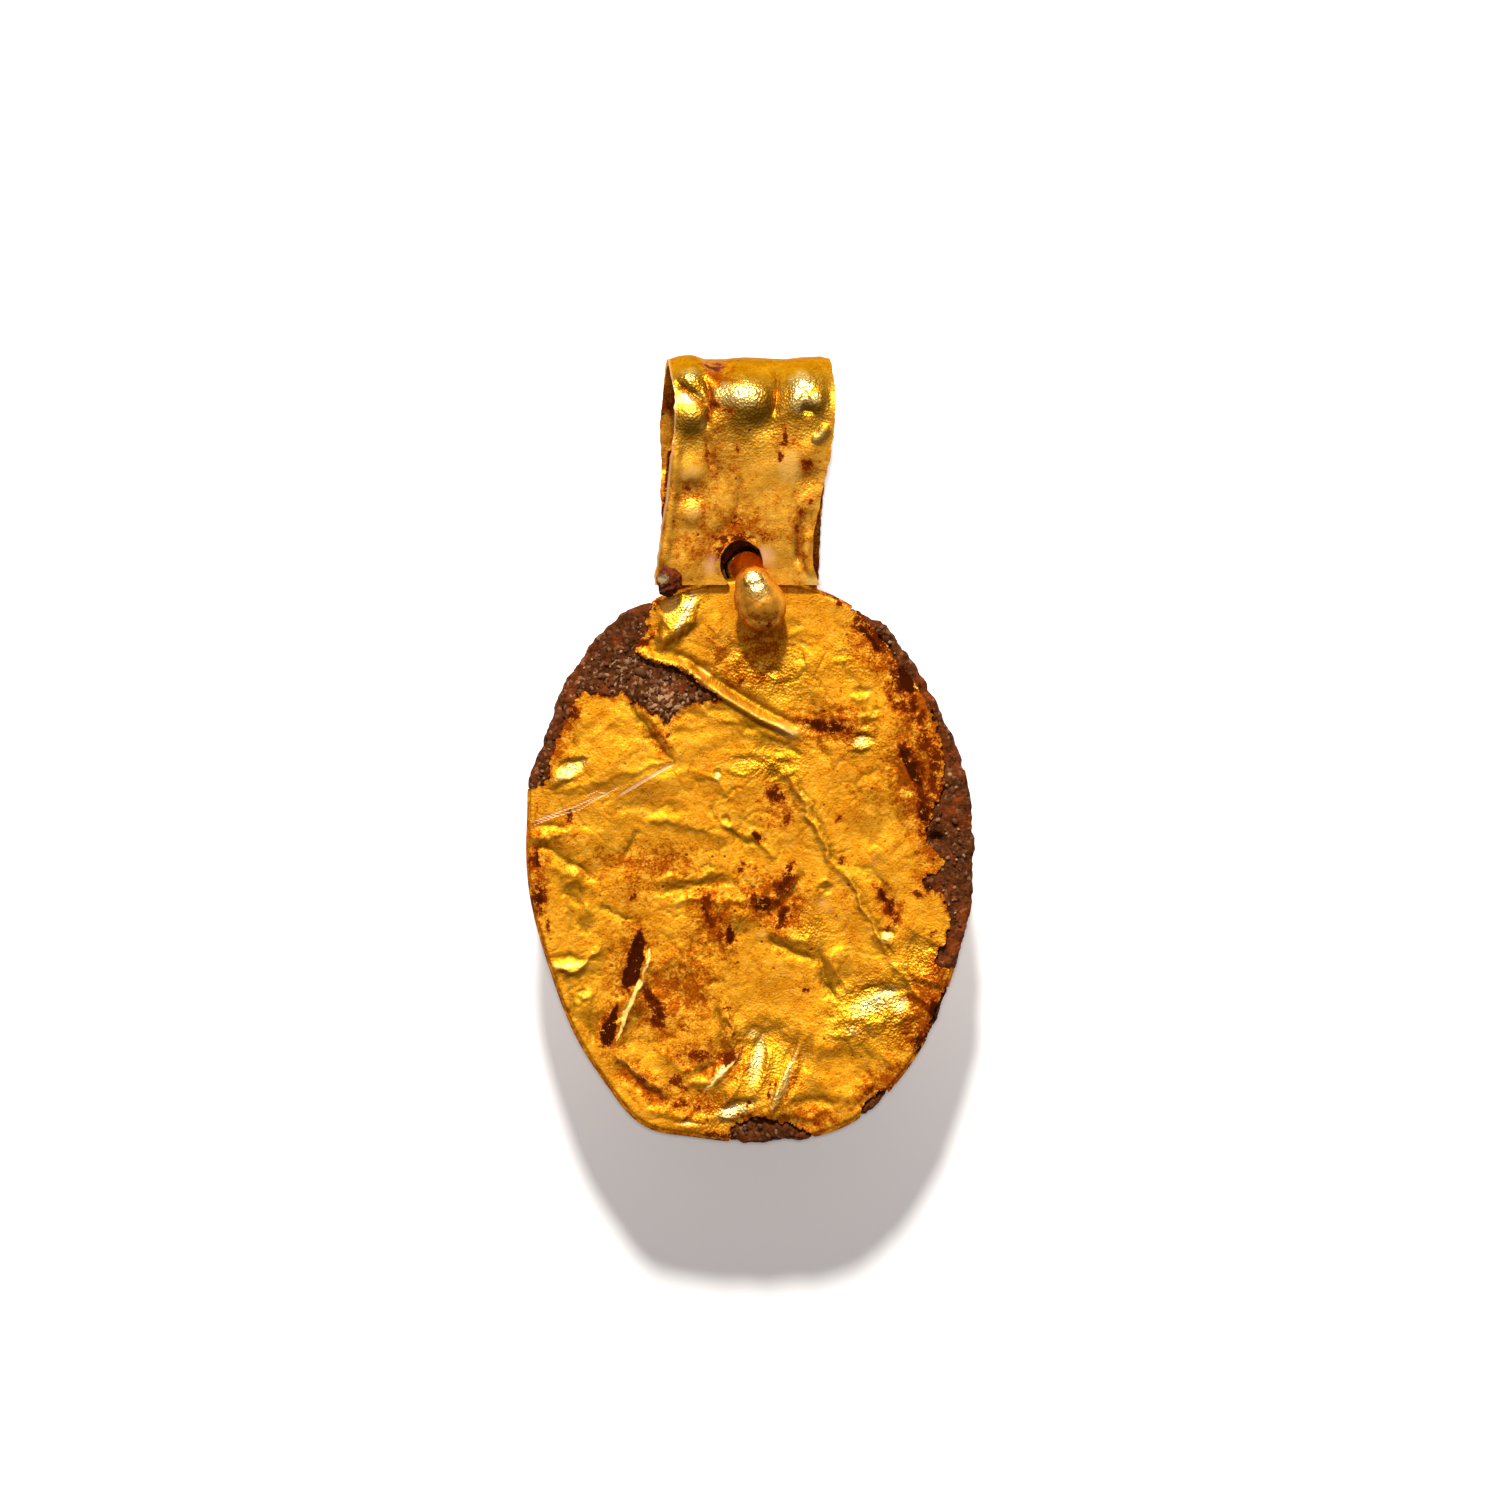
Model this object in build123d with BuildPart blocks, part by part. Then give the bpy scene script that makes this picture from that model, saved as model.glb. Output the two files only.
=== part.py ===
from build123d import *
from math import atan2, cos, degrees, exp, hypot, pi, sin
import os

# Medallion pendant: an oval lens of dark earthy core between two gold foils, with a folded gold
# strip as its bail and a bent gold pin that holds the strip to the core's ear. Millimetres.
# It lies on its rounded back: +Z is out of the wrinkled front, +Y towards the bail. The origin is
# under the middle of the whole jewel, on the surface that it lies on.

# Medallion
disc_width = 20.0
disc_length = 25.1
face_height = 6.2  # mean top of the front foil
foil_wall = 0.2
seat_gap = 0.06  # between the core and each foil
fold_relief = 0.42  # the highest fold of the front foil
dent_relief = 0.15  # the deepest dent of the front foil
edge_turn = 0.45  # how far the front's rim turns down
rim_band = 0.5  # bare side of the core between the two foils
rim_inset = 0.4  # back foil's rim, in from the medallion's outline
squareness = 2.08  # exponent of the oval: 2 is an ellipse

# Bail
bail_width = 7.2
bail_wall = 0.3
bail_rise = 9.78  # top of the loop above the medallion's top edge
bail_overlap = 0.4  # front leaf over the medallion's top edge
bail_lift = 0.05  # front leaf above the front foil
bail_bend = 2.7  # length of the loop's rounded top
bail_relief = 0.3
floor_run = 2.2  # straight stretch of the back leaf on the surface
tail_reach = 1.4  # back leaf beyond the pin's axis
belly_gap = 0.12  # between the back leaf and the back foil

# Pin
pin_radius = 0.8
tip_radius = 1.1
pin_lean = 0.62  # sideways shift of the tip
pin_reach = 1.55  # drop of the tip's middle below the pin's axis
pin_bend = 1.05
pin_beyond = 0.38  # the axis beyond the medallion's top edge
pin_aside = -0.13
tip_gap = 0.14  # tip above the front foil
hole_play = 0.35  # front hole round the pin
hole_aside = -0.18  # middle of the front hole from the pin's axis
hole_above = 0.13
ear_play = 0.1  # ear and back leaf round the pin
head_radius = 1.4
head_height = 0.45

# Ear of the core, between the two leaves
ear_width = 4.4
ear_reach = 1.9  # beyond the pin's axis
ear_root = 2.8  # inside the core
ear_gap = 0.1

# Crust lump on the bail's lower left corner
lump_width = 1.15
lump_length = 1.35
lump_height = 0.8
lump_up = 0.2  # middle above the front leaf's lower edge

# Facets
face_rings = 18
rim_sectors = 72
strip_columns = 12
front_steps = 15
loop_steps = 12
floor_steps = 2
slope_steps = 6
tail_steps = 5
bend_steps = 4
lump_sides = 11

# Shares of the medallion's radius where its front turns down, at its middle and outer shoulder
turn_start = 0.88
turn_middle = 0.965

half_width = disc_width / 2
half_length = disc_length / 2
overall_length = disc_length + bail_rise
disc_y = half_length - overall_length / 2
disc_top = disc_y + half_length

# Swellings of the oval's outline: middle in degrees, spread in degrees, share of the radius
rim_swellings = [
    (33, 9, -0.012),
    (53, 5, 0.012),
    (128, 12, 0.034),
    (144, 7, 0.018),
    (164, 5, 0.018),
    (204, 17, -0.036),
    (243, 10, 0.044),
    (296, 15, 0.026),
    (337, 13, -0.020),
]

# Folds of the front foil. Ends are in shares of the half width and half length, from the middle.
# Columns: x and y of one end, x and y of the other, rise as a share of fold_relief, spread as a
# share of the half width.
face_folds = [
    (-0.52, 0.75, -0.33, 0.69, 0.70, 0.060),
    (-0.33, 0.69, -0.13, 0.60, 0.90, 0.060),
    (-0.13, 0.60, 0.21, 0.44, 1.00, 0.060),
    (-0.54, 0.57, -0.35, 0.37, 0.50, 0.070),
    (0.15, 0.30, 0.29, 0.13, 0.60, 0.065),
    (0.29, 0.13, 0.50, -0.18, 0.75, 0.065),
    (0.50, -0.18, 0.78, -0.51, 0.60, 0.065),
    (0.08, -0.27, 0.31, -0.35, 0.60, 0.060),
    (0.31, -0.35, 0.39, -0.49, 0.50, 0.060),
    (-0.07, 0.11, 0.10, 0.02, 0.50, 0.070),
    (0.10, 0.02, -0.05, -0.07, 0.40, 0.070),
    (0.20, -0.07, 0.09, -0.18, 0.40, 0.070),
    (0.58, 0.37, 0.69, 0.18, 0.40, 0.070),
    (-0.84, 0.04, -0.67, -0.05, 0.50, 0.070),
    (-0.67, -0.05, -0.49, -0.06, 0.45, 0.070),
    (-0.67, -0.16, -0.50, -0.22, 0.40, 0.065),
    (-0.89, -0.39, -0.65, -0.30, 0.80, 0.060),
    (-0.46, -0.30, -0.57, -0.56, 0.60, 0.060),
    (-0.62, -0.67, -0.37, -0.82, 0.85, 0.060),
    (-0.14, -0.49, -0.07, -0.69, 0.70, 0.060),
    (-0.07, -0.69, -0.18, -0.80, 0.65, 0.060),
    (0.13, -0.74, 0.06, -0.88, 0.60, 0.060),
    (0.51, -0.63, 0.54, -0.79, 0.50, 0.065),
    (-0.89, 0.30, -0.72, 0.35, 0.55, 0.065),
]

# Hollows and swells of the front foil: x, y, spread as a share of the half width, depth as a
# share of dent_relief, where a minus raises the foil
face_dents = [
    (-0.04, 0.63, 0.08, 1.0),
    (0.35, -0.10, 0.12, 0.9),
    (-0.54, -0.38, 0.10, 1.0),
    (-0.30, 0.20, 0.30, 0.6),
    (0.10, -0.50, 0.20, 0.7),
    (-0.40, -0.55, 0.16, 0.8),
    (0.55, 0.45, 0.25, -0.8),
    (-0.55, 0.10, 0.20, -0.9),
    (0.60, -0.55, 0.20, -0.9),
    (0.15, 0.72, 0.25, -0.5),
]

# Outline of the torn patch at the upper left, where the core lies bare. Shares of the half width
# and half length, from the medallion's middle.
torn_patch = [
    (-0.43, 1.20),
    (-0.45, 0.87),
    (-0.49, 0.78),
    (-0.52, 0.75),
    (-0.33, 0.69),
    (-0.22, 0.64),
    (-0.13, 0.59),
    (-0.20, 0.56),
    (-0.40, 0.51),
    (-0.56, 0.60),
    (-0.83, 0.60),
    (-1.20, 0.80),
]

# Bare patches along the rim: middle in degrees, spread in degrees, depth as a share of the radius
bare_rim = [
    (50, 5, 0.07),
    (38, 3, 0.06),
    (24, 9, 0.06),
    (10, 5, 0.22),
    (1, 4, 0.10),
    (-5, 4, 0.22),
    (-14, 5, 0.10),
    (-36, 6, 0.08),
    (156, 12, 0.07),
    (-86, 8, 0.08),
    (-56, 5, 0.05),
]

# Belly of the core, from its rim to its flat bottom: share of the rim's radius, share of depth
belly_rows = [
    (1.00, 0.00),
    (0.965, 0.26),
    (0.88, 0.54),
    (0.74, 0.78),
    (0.56, 0.94),
    (0.34, 1.00),
]

# Side edges of the front leaf: share of its height above its lower edge, left and right edge as
# shares of the half width of the bail
front_edges = [
    (0.00, -1.19, 0.86),
    (0.11, -1.15, 0.78),
    (0.25, -1.10, 0.80),
    (0.42, -1.02, 0.91),
    (0.56, -0.97, 1.00),
    (0.80, -0.94, 1.05),
    (0.93, -0.99, 1.01),
    (1.00, -1.02, 0.96),
]

# The same for the back leaf
back_edges = [
    (0.00, -1.06, 0.84),
    (0.25, -1.09, 0.88),
    (0.50, -1.10, 0.95),
    (0.70, -1.11, 0.98),
    (0.85, -1.09, 0.98),
    (1.00, -1.02, 0.96),
]

# Rolls and grooves of the front leaf: share of its height, share of its half width, spread up the
# leaf and across it as shares of the bail's width, height as a share of bail_relief
bail_rolls = [
    (0.90, -0.70, 0.16, 0.11, 1.0),
    (0.74, -0.70, 0.10, 0.11, 0.7),
    (0.86, -0.06, 0.22, 0.16, 1.0),
    (0.88, 0.66, 0.20, 0.13, 0.9),
    (0.67, 0.86, 0.06, 0.10, 0.8),
    (0.84, 0.34, 0.24, 0.05, -0.6),
    (0.84, -0.44, 0.22, 0.05, -0.5),
]

# Crust lump, from its foot to its top: share of its height, share of its width and length
lump_rows = [(0.0, 0.62), (0.3, 1.0), (0.7, 0.84), (1.0, 0.40)]


def rim_share(angle):
    """Radius of the outline at an angle in radians, as a share of the half sizes."""
    oval = (abs(cos(angle)) ** squareness + abs(sin(angle)) ** squareness) ** (-1 / squareness)
    swelling = 0
    for middle, spread, share in rim_swellings:
        turn = (degrees(angle) - middle + 180) % 360 - 180
        swelling += share * exp(-((turn / spread) ** 2))
    return oval * (1 + swelling)


def rim_point(angle, share, height, out=0.0):
    """A point of the medallion at a share of its radius, moved out by a length."""
    radius = rim_share(angle) * share
    x = half_width * radius * cos(angle) + out * cos(angle)
    y = half_length * radius * sin(angle) + out * sin(angle)
    return (x, disc_y + y, height)


def bump(distance, spread):
    return exp(-((distance / spread) ** 2))


def to_segment(x, y, x1, y1, x2, y2):
    """Distance from a point to a straight stretch."""
    along = ((x - x1) * (x2 - x1) + (y - y1) * (y2 - y1)) / ((x2 - x1) ** 2 + (y2 - y1) ** 2)
    along = min(max(along, 0), 1)
    return hypot(x - x1 - along * (x2 - x1), y - y1 - along * (y2 - y1))


def face_relief(x, y, share):
    """Height of the front foil over its mean, at x and y from the medallion's middle."""
    folds = 0
    for x1, y1, x2, y2, rise, spread in face_folds:
        ends = (x1 * half_width, y1 * half_length, x2 * half_width, y2 * half_length)
        folds = max(folds, rise * bump(to_segment(x, y, *ends), spread * half_width))
    dents = 0
    for dent_x, dent_y, spread, depth in face_dents:
        distance = hypot(x - dent_x * half_width, y - dent_y * half_length)
        dents += depth * bump(distance, spread * half_width)
    dents = min(dents, 1)
    turned = max(0, (share - turn_start) / (1 - turn_start)) ** 2
    return folds * fold_relief - dents * dent_relief - turned * edge_turn


def inside(x, y, outline):
    """Whether a point lies in a closed outline."""
    found = False
    for (x1, y1), (x2, y2) in zip(outline, outline[1:] + outline[:1]):
        if (y1 > y) != (y2 > y) and x < x1 + (x2 - x1) * (y - y1) / (y2 - y1):
            found = not found
    return found


def foil_margin(x, y, angle, share):
    """How far a point lies inside the front foil's ragged edge; less than nought is bare core."""
    outline = [(tear_x * half_width, tear_y * half_length) for tear_x, tear_y in torn_patch]
    sides = zip(outline, outline[1:] + outline[:1])
    tear = min(to_segment(x, y, *first, *second) for first, second in sides)
    if inside(x, y, outline):
        tear = -tear
    bare = 0
    for middle, spread, depth in bare_rim:
        turn = (degrees(angle) - middle + 180) % 360 - 180
        bare += depth * bump(turn, spread)
    shallowest = 0.03
    if bare < shallowest:
        return tear
    return min(tear, (1 - bare - share) * half_width)


def facet(*corners):
    return Face(Wire.make_polygon(corners))


def sheet_solid(top, low, triangles):
    """A wall between two fields of points that share their triangles."""
    faces = []
    edges = set()
    for a, b, c in triangles:
        faces.append(facet(top[a], top[b], top[c]))
        faces.append(facet(low[a], low[c], low[b]))
        edges.update([(a, b), (b, c), (c, a)])
    for a, b in sorted(edges):
        if (b, a) not in edges:
            faces.append(facet(low[a], low[b], top[b]))
            faces.append(facet(low[a], top[b], top[a]))
    return Solid(Shell(faces))


def ring_solid(rings):
    """A closed solid from rings of points, each end closed by a flat face."""
    count = len(rings[0])
    faces = [facet(*reversed(rings[0])), facet(*rings[-1])]
    for lower, upper in zip(rings, rings[1:]):
        for k in range(count):
            after = (k + 1) % count
            faces.append(facet(lower[k], lower[after], upper[after]))
            faces.append(facet(lower[k], upper[after], upper[k]))
    return Solid(Shell(faces))


def clipped(points, triangles, margins):
    """The triangles cut along the line where the margin is nought. Adds the new points."""
    crossings = {}

    def crossing(a, b):
        if margins[a] == 0:
            return a
        key = (min(a, b), max(a, b))
        if key not in crossings:
            part = margins[a] / (margins[a] - margins[b])
            pair = zip(points[a], points[b])
            points.append(tuple(first + (second - first) * part for first, second in pair))
            margins.append(0)
            crossings[key] = len(points) - 1
        return crossings[key]

    kept = []
    for triangle in triangles:
        signs = [margins[k] >= 0 for k in triangle]
        if all(signs):
            kept.append(triangle)
        if all(signs) or not any(signs):
            continue
        odd = signs.index(sum(signs) == 1)
        a, b, c = triangle[odd:] + triangle[:odd]
        if signs[odd]:
            pieces = [(a, crossing(a, b), crossing(a, c))]
        else:
            from_b = crossing(b, a)
            from_c = crossing(c, a)
            pieces = [(b, c, from_c), (b, from_c, from_b)]
        kept += [piece for piece in pieces if len(set(piece)) == 3]
    return kept


def between(rows, share, column):
    """A column of a table, read straight between its rows."""
    for low, high in zip(rows, rows[1:]):
        if share <= high[0]:
            part = max(0, (share - low[0]) / (high[0] - low[0]))
            return low[column] + (high[column] - low[column]) * part
    return rows[-1][column]


# Front foil: squares laid in rings over the oval, each cut into two triangles
points = []
margins = []
index = {}
nearest = 0.1 * half_width / face_rings  # a point this near the ragged edge lies on it
for row in range(-face_rings, face_rings + 1):
    for column in range(-face_rings, face_rings + 1):
        ring = max(abs(row), abs(column))
        share = ring / face_rings
        angle = 0
        if ring and abs(column) >= abs(row):
            angle = pi / 4 * row / column + (pi if column < 0 else 0)
        elif ring:
            angle = pi / 2 - pi / 4 * column / row + (pi if row < 0 else 0)
        x, y, height = rim_point(angle, share, face_height)
        lift = face_relief(x, y - disc_y, share)
        margin = foil_margin(x, y - disc_y, angle, share)
        index[row, column] = len(points)
        points.append((x, y, height + lift))
        margins.append(0 if abs(margin) < nearest else margin)

triangles = []
for row in range(-face_rings, face_rings):
    for column in range(-face_rings, face_rings):
        a = index[row, column]
        b = index[row, column + 1]
        c = index[row + 1, column + 1]
        d = index[row + 1, column]
        if (row + 0.5) * (column + 0.5) > 0:
            triangles += [(a, b, c), (a, c, d)]
        else:
            triangles += [(a, b, d), (b, c, d)]
kept_triangles = clipped(points, triangles, margins)
# Core: belly, upright side, rounded shoulder and flat top under the foil's deepest dent
core_top = face_height - foil_wall - dent_relief - seat_gap
shoulder = core_top - edge_turn
belly_top = shoulder - rim_band
belly_bottom = foil_wall + seat_gap
belly_depth = belly_top - belly_bottom
belly_share = 1 - rim_inset / half_width


def turn_of(k):
    return 2 * pi * k / rim_sectors


def belly_ring(row, out):
    """A ring of the belly, moved out along its slope by a wall's thickness."""
    low = belly_rows[min(row + 1, len(belly_rows) - 1)]
    high = belly_rows[max(row - 1, 0)]
    run = (high[0] - low[0]) * belly_share * half_width
    drop = (low[1] - high[1]) * belly_depth
    slope = hypot(run, drop)
    share, depth = belly_rows[row]
    flat = row == len(belly_rows) - 1
    outwards = 0 if flat else drop / slope * out
    height = belly_top - depth * belly_depth - (out if flat else run / slope * out)
    angles = [turn_of(k) for k in range(rim_sectors)]
    return [rim_point(angle, share * belly_share, height, outwards) for angle in angles]


def level_ring(share, height):
    return [rim_point(turn_of(k), share, height) for k in range(rim_sectors)]


def belly_outside(y):
    """Height of the back foil's outer side on the middle line, at a distance from the middle."""
    rings = [belly_ring(row, foil_wall + seat_gap) for row in range(len(belly_rows))]
    quarter = rim_sectors // 4
    profile = sorted((ring[quarter][1] - disc_y, ring[quarter][2]) for ring in rings)
    return between(profile, y, 1)


core_rings = [belly_ring(row, 0) for row in reversed(range(len(belly_rows)))]
core_rings += [level_ring(1, belly_top), level_ring(1, shoulder)]
turn_part = (turn_middle - turn_start) / (1 - turn_start)
core_rings += [level_ring(turn_middle, core_top - edge_turn * turn_part**2)]
core_rings += [level_ring(turn_start, core_top)]

# Bail's places, from the medallion and the pin
pin_x = pin_aside
pin_y = disc_top + pin_beyond
tail_y = pin_y - tail_reach
leaf_mid = face_height + bail_lift + bail_wall / 2
pinch_mid = belly_outside(tail_y - disc_y) - belly_gap - bail_wall / 2
floor_mid = bail_wall / 2
loop_top = disc_top + bail_rise - bail_wall / 2
bend_y = loop_top - bail_bend + bail_wall / 2
leaf_low = disc_top - bail_overlap
leaf_height = loop_top - leaf_low

# The pin stands low and to the right in the front leaf's hole
hole_x = pin_x + hole_aside
hole_y = pin_y + hole_above

ear_low = pinch_mid + bail_wall / 2 + ear_gap
ear_high = leaf_mid - bail_wall / 2 - ear_gap
ear_y = pin_y + ear_reach

underside = [(x, y, z - foil_wall) for x, y, z in points]
with BuildPart() as front_foil:
    add(sheet_solid(points, underside, kept_triangles))
    with BuildSketch(Plane.XY):
        with Locations((pin_x, pin_y)):
            Circle(pin_radius + ear_play)
    extrude(amount=2 * face_height, mode=Mode.SUBTRACT)

with BuildPart() as core:
    add(ring_solid(core_rings))
    with BuildSketch(Plane.XY.offset(ear_low)):
        with Locations((pin_x, disc_top - ear_root)):
            Rectangle(ear_width, ear_y - disc_top + ear_root, align=(Align.CENTER, Align.MIN))
    extrude(amount=shoulder - ear_low)
    with BuildSketch(Plane.XY.offset(ear_low)):
        with Locations((pin_x, disc_top + ear_gap)):
            Rectangle(ear_width, ear_y - disc_top - ear_gap, align=(Align.CENTER, Align.MIN))
    extrude(amount=ear_high - ear_low)
    with BuildSketch(Plane.XY.offset(ear_low - 1)):
        with Locations((pin_x, pin_y)):
            Circle(pin_radius + ear_play)
    extrude(amount=ear_high - ear_low + 2, mode=Mode.SUBTRACT)

# Back foil: a shell round the belly, cut away where the ear comes out
outer_rings = [belly_ring(row, foil_wall + seat_gap) for row in range(len(belly_rows))]
inner_rings = [belly_ring(row, seat_gap) for row in range(len(belly_rows))]
with BuildPart() as back_foil:
    add(ring_solid(outer_rings[::-1] + inner_rings))
    with BuildSketch(Plane.XY.offset(ear_low - ear_gap)):
        with Locations((pin_x, disc_top - ear_root)):
            Rectangle(ear_width + 2 * ear_gap, 2 * ear_root, align=(Align.CENTER, Align.MIN))
    extrude(amount=face_height, mode=Mode.SUBTRACT)


def bail_stations():
    """Middle line of the strip seen from the side: y, height, whether it is the back leaf."""
    places = []
    for k in range(front_steps):
        y = leaf_low + (bend_y - leaf_low) * k / front_steps
        places.append((y, leaf_mid, False))
    middle = (leaf_mid + floor_mid) / 2
    rise = (leaf_mid - floor_mid) / 2
    for k in range(loop_steps + 1):
        turn = pi / 2 - pi * k / loop_steps
        y = bend_y + (loop_top - bend_y) * cos(turn)
        places.append((y, middle + rise * sin(turn), turn < 0))
    slope_high = bend_y - floor_run
    slope_low = pin_y + ear_reach
    for k in range(1, floor_steps + 1):
        places.append((bend_y - floor_run * k / floor_steps, floor_mid, True))
    for k in range(1, slope_steps + 1):
        part = k / slope_steps
        y = slope_high + (slope_low - slope_high) * part
        eased = part * part * (3 - 2 * part)
        places.append((y, floor_mid + (pinch_mid - floor_mid) * eased, True))
    for k in range(1, tail_steps + 1):
        y = slope_low + (tail_y - slope_low) * k / tail_steps
        places.append((y, pinch_mid, True))
    return places


def roll_height(up, across):
    """Rolls and grooves of the front leaf at shares of its height and half width."""
    height = 0
    for roll_up, roll_across, up_spread, across_spread, rise in bail_rolls:
        along = (up - roll_up) * leaf_height / (up_spread * bail_width)
        aside = (across - roll_across) / (2 * across_spread)
        height += rise * exp(-(along**2) - aside**2)
    return height * bail_relief


stations = bail_stations()
outer_side = []
inner_side = []
for k, (y, height, is_back) in enumerate(stations):
    y_before, height_before, _ = stations[max(k - 1, 0)]
    y_after, height_after, _ = stations[min(k + 1, len(stations) - 1)]
    length = hypot(y_after - y_before, height_after - height_before)
    normal_y = -(height_after - height_before) / length
    normal_z = (y_after - y_before) / length
    up = (y - leaf_low) / leaf_height
    rows = back_edges if is_back else front_edges
    left = between(rows, up, 1) * bail_width / 2
    right = between(rows, up, 2) * bail_width / 2
    for column in range(strip_columns + 1):
        across = 2 * column / strip_columns - 1
        x = left + (right - left) * column / strip_columns
        lift = 0 if is_back else roll_height(up, across) * max(0, normal_z) ** 0.5
        for side, offset in ((outer_side, bail_wall / 2), (inner_side, -bail_wall / 2)):
            out = offset + lift
            side.append((x, y + normal_y * out, height + normal_z * out))

columns = strip_columns + 1
strip_triangles = []
for k in range(len(stations) - 1):
    for column in range(strip_columns):
        a = k * columns + column
        b = a + 1
        strip_triangles += [(a, b, b + columns), (a, b + columns, a + columns)]

with BuildPart() as bail:
    add(sheet_solid(outer_side, inner_side, strip_triangles))
    with BuildSketch(Plane.XY.offset(ear_high)):
        with Locations((hole_x, hole_y)):
            Circle(pin_radius + hole_play)
    extrude(amount=face_height, mode=Mode.SUBTRACT)
    with BuildSketch(Plane.XY.offset(ear_low)):
        with Locations((pin_x, pin_y)):
            Circle(pin_radius + ear_play)
    extrude(amount=-2 * bail_wall - ear_gap, mode=Mode.SUBTRACT)

# Pin: head behind the back leaf, straight shank, bend, and a thick round tip over the front
head_top = pinch_mid - bail_wall / 2 - ear_gap
tip_height = face_height + fold_relief / 4 + tip_gap + tip_radius
bend_start = tip_height - pin_bend
lean = atan2(pin_lean, pin_reach)
tip_way = Vector(sin(lean), -cos(lean), 0)
shank_top = Vector(pin_x, pin_y, bend_start)
tip_x = pin_x + pin_lean
tip_y = pin_y - pin_reach

with BuildPart() as pin:
    with BuildSketch(Plane.XY.offset(head_top - head_height)):
        with Locations((pin_x, pin_y)):
            Circle(head_radius)
    extrude(amount=head_height)
    with BuildSketch(Plane.XY.offset(head_top)):
        with Locations((pin_x, pin_y)):
            Circle(pin_radius)
    extrude(amount=bend_start - head_top)
    for step in range(bend_steps + 1):
        turn = pi / 2 * step / bend_steps
        way = Vector(0, 0, 1) * cos(turn) + tip_way * sin(turn)
        centre = shank_top + tip_way * (pin_bend * (1 - cos(turn)))
        centre += Vector(0, 0, pin_bend * sin(turn))
        across = Vector(0, 0, 1).cross(tip_way)
        with BuildSketch(Plane(centre, x_dir=across, z_dir=way)):
            Circle(pin_radius + (tip_radius - pin_radius) * step / bend_steps)
    loft()
    with BuildSketch(Plane(centre, x_dir=across, z_dir=tip_way)):
        Circle(tip_radius)
    extrude(amount=hypot(pin_lean, pin_reach) - pin_bend)
    with Locations((tip_x, tip_y, tip_height)):
        Sphere(tip_radius)

# Crust lump: uneven rings on the front leaf's lower left corner
lump_x = front_edges[0][1] * bail_width / 2 + lump_width / 2
lump_y = leaf_low + lump_up
lump_low = leaf_mid + bail_wall / 2 + seat_gap
lump_rings = []
for level, (rise, share) in enumerate(lump_rows):
    ring = []
    for k in range(lump_sides):
        turn = 2 * pi * k / lump_sides
        uneven = share * (1 + 0.10 * sin(3 * turn + level) + 0.07 * cos(5 * turn - level))
        x = lump_x + lump_width / 2 * uneven * cos(turn)
        y = lump_y + lump_length / 2 * uneven * sin(turn)
        ring.append((x, y, lump_low + rise * lump_height))
    lump_rings.append(ring)
with BuildPart() as crust_lump:
    add(ring_solid(lump_rings))

os.makedirs("parts", exist_ok=True)
pieces = {
    "core": core,
    "front_foil": front_foil,
    "back_foil": back_foil,
    "bail": bail,
    "pin": pin,
    "crust_lump": crust_lump,
}
for name, piece in pieces.items():
    piece.part.label = name
    export_step(piece.part, f"parts/{name}.step")
    box = piece.part.bounding_box()
    print(name, round(piece.part.volume, 2), "mm3", box.min, box.max)
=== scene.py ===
# %% [markdown]
# A medallion pendant in gold foil
# The pendant is an oval lens of dark, earthy core between two crumpled gold foils. A gold strip is
# folded over as its bail, and a bent gold pin holds the strip. This lesson builds each piece round
# the construction model, which stays where it is.

# %% Load the construction model
import math

import bpy
import numpy as np
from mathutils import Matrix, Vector, noise


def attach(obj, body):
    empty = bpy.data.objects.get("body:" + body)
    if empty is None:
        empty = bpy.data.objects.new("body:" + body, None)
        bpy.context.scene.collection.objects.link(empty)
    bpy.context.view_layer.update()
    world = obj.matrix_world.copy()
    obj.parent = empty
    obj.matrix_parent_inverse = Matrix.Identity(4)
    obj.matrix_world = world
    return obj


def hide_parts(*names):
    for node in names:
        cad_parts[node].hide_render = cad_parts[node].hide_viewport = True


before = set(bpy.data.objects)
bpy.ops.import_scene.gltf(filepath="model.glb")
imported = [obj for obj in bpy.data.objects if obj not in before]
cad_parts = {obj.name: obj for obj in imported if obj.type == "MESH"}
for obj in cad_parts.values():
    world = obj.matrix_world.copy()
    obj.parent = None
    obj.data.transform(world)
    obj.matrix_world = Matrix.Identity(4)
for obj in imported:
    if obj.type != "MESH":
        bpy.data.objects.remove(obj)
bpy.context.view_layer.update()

# %% [markdown]
# One ruler for everything
# The photograph is 1500 pixels wide, and its middle is the middle of the pendant. Folds, stains and
# edges are easiest to name by where they lie in it, so the tables below use its pixels. One pixel
# is 0.0444 mm on the pendant, and everything that leaves these helpers is in metres.

# %% Ruler
MM = 0.001
PIXEL = 0.04444 * MM
PICTURE_MIDDLE = 750
DISC_MIDDLE = (750, 860)
DISC_HALF = (225, 282.4)
SQUARENESS = 2.08  # 2 would be an oval, and more is squarer

# Swellings of the oval: middle in degrees, spread in degrees, share of the radius
RIM_SWELLINGS = [
    (33, 9, -0.012), (53, 5, 0.012), (128, 12, 0.034), (144, 7, 0.018), (164, 5, 0.018),
    (204, 17, -0.036), (243, 10, 0.044), (296, 15, 0.026), (337, 13, -0.02),
]


def to_picture(x, y):
    """Metres on the pendant to pixels of the picture."""
    return PICTURE_MIDDLE + x / PIXEL, PICTURE_MIDDLE - y / PIXEL


def to_metres(px, py):
    """Pixels of the picture to metres on the pendant."""
    return (px - PICTURE_MIDDLE) * PIXEL, (PICTURE_MIDDLE - py) * PIXEL


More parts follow.
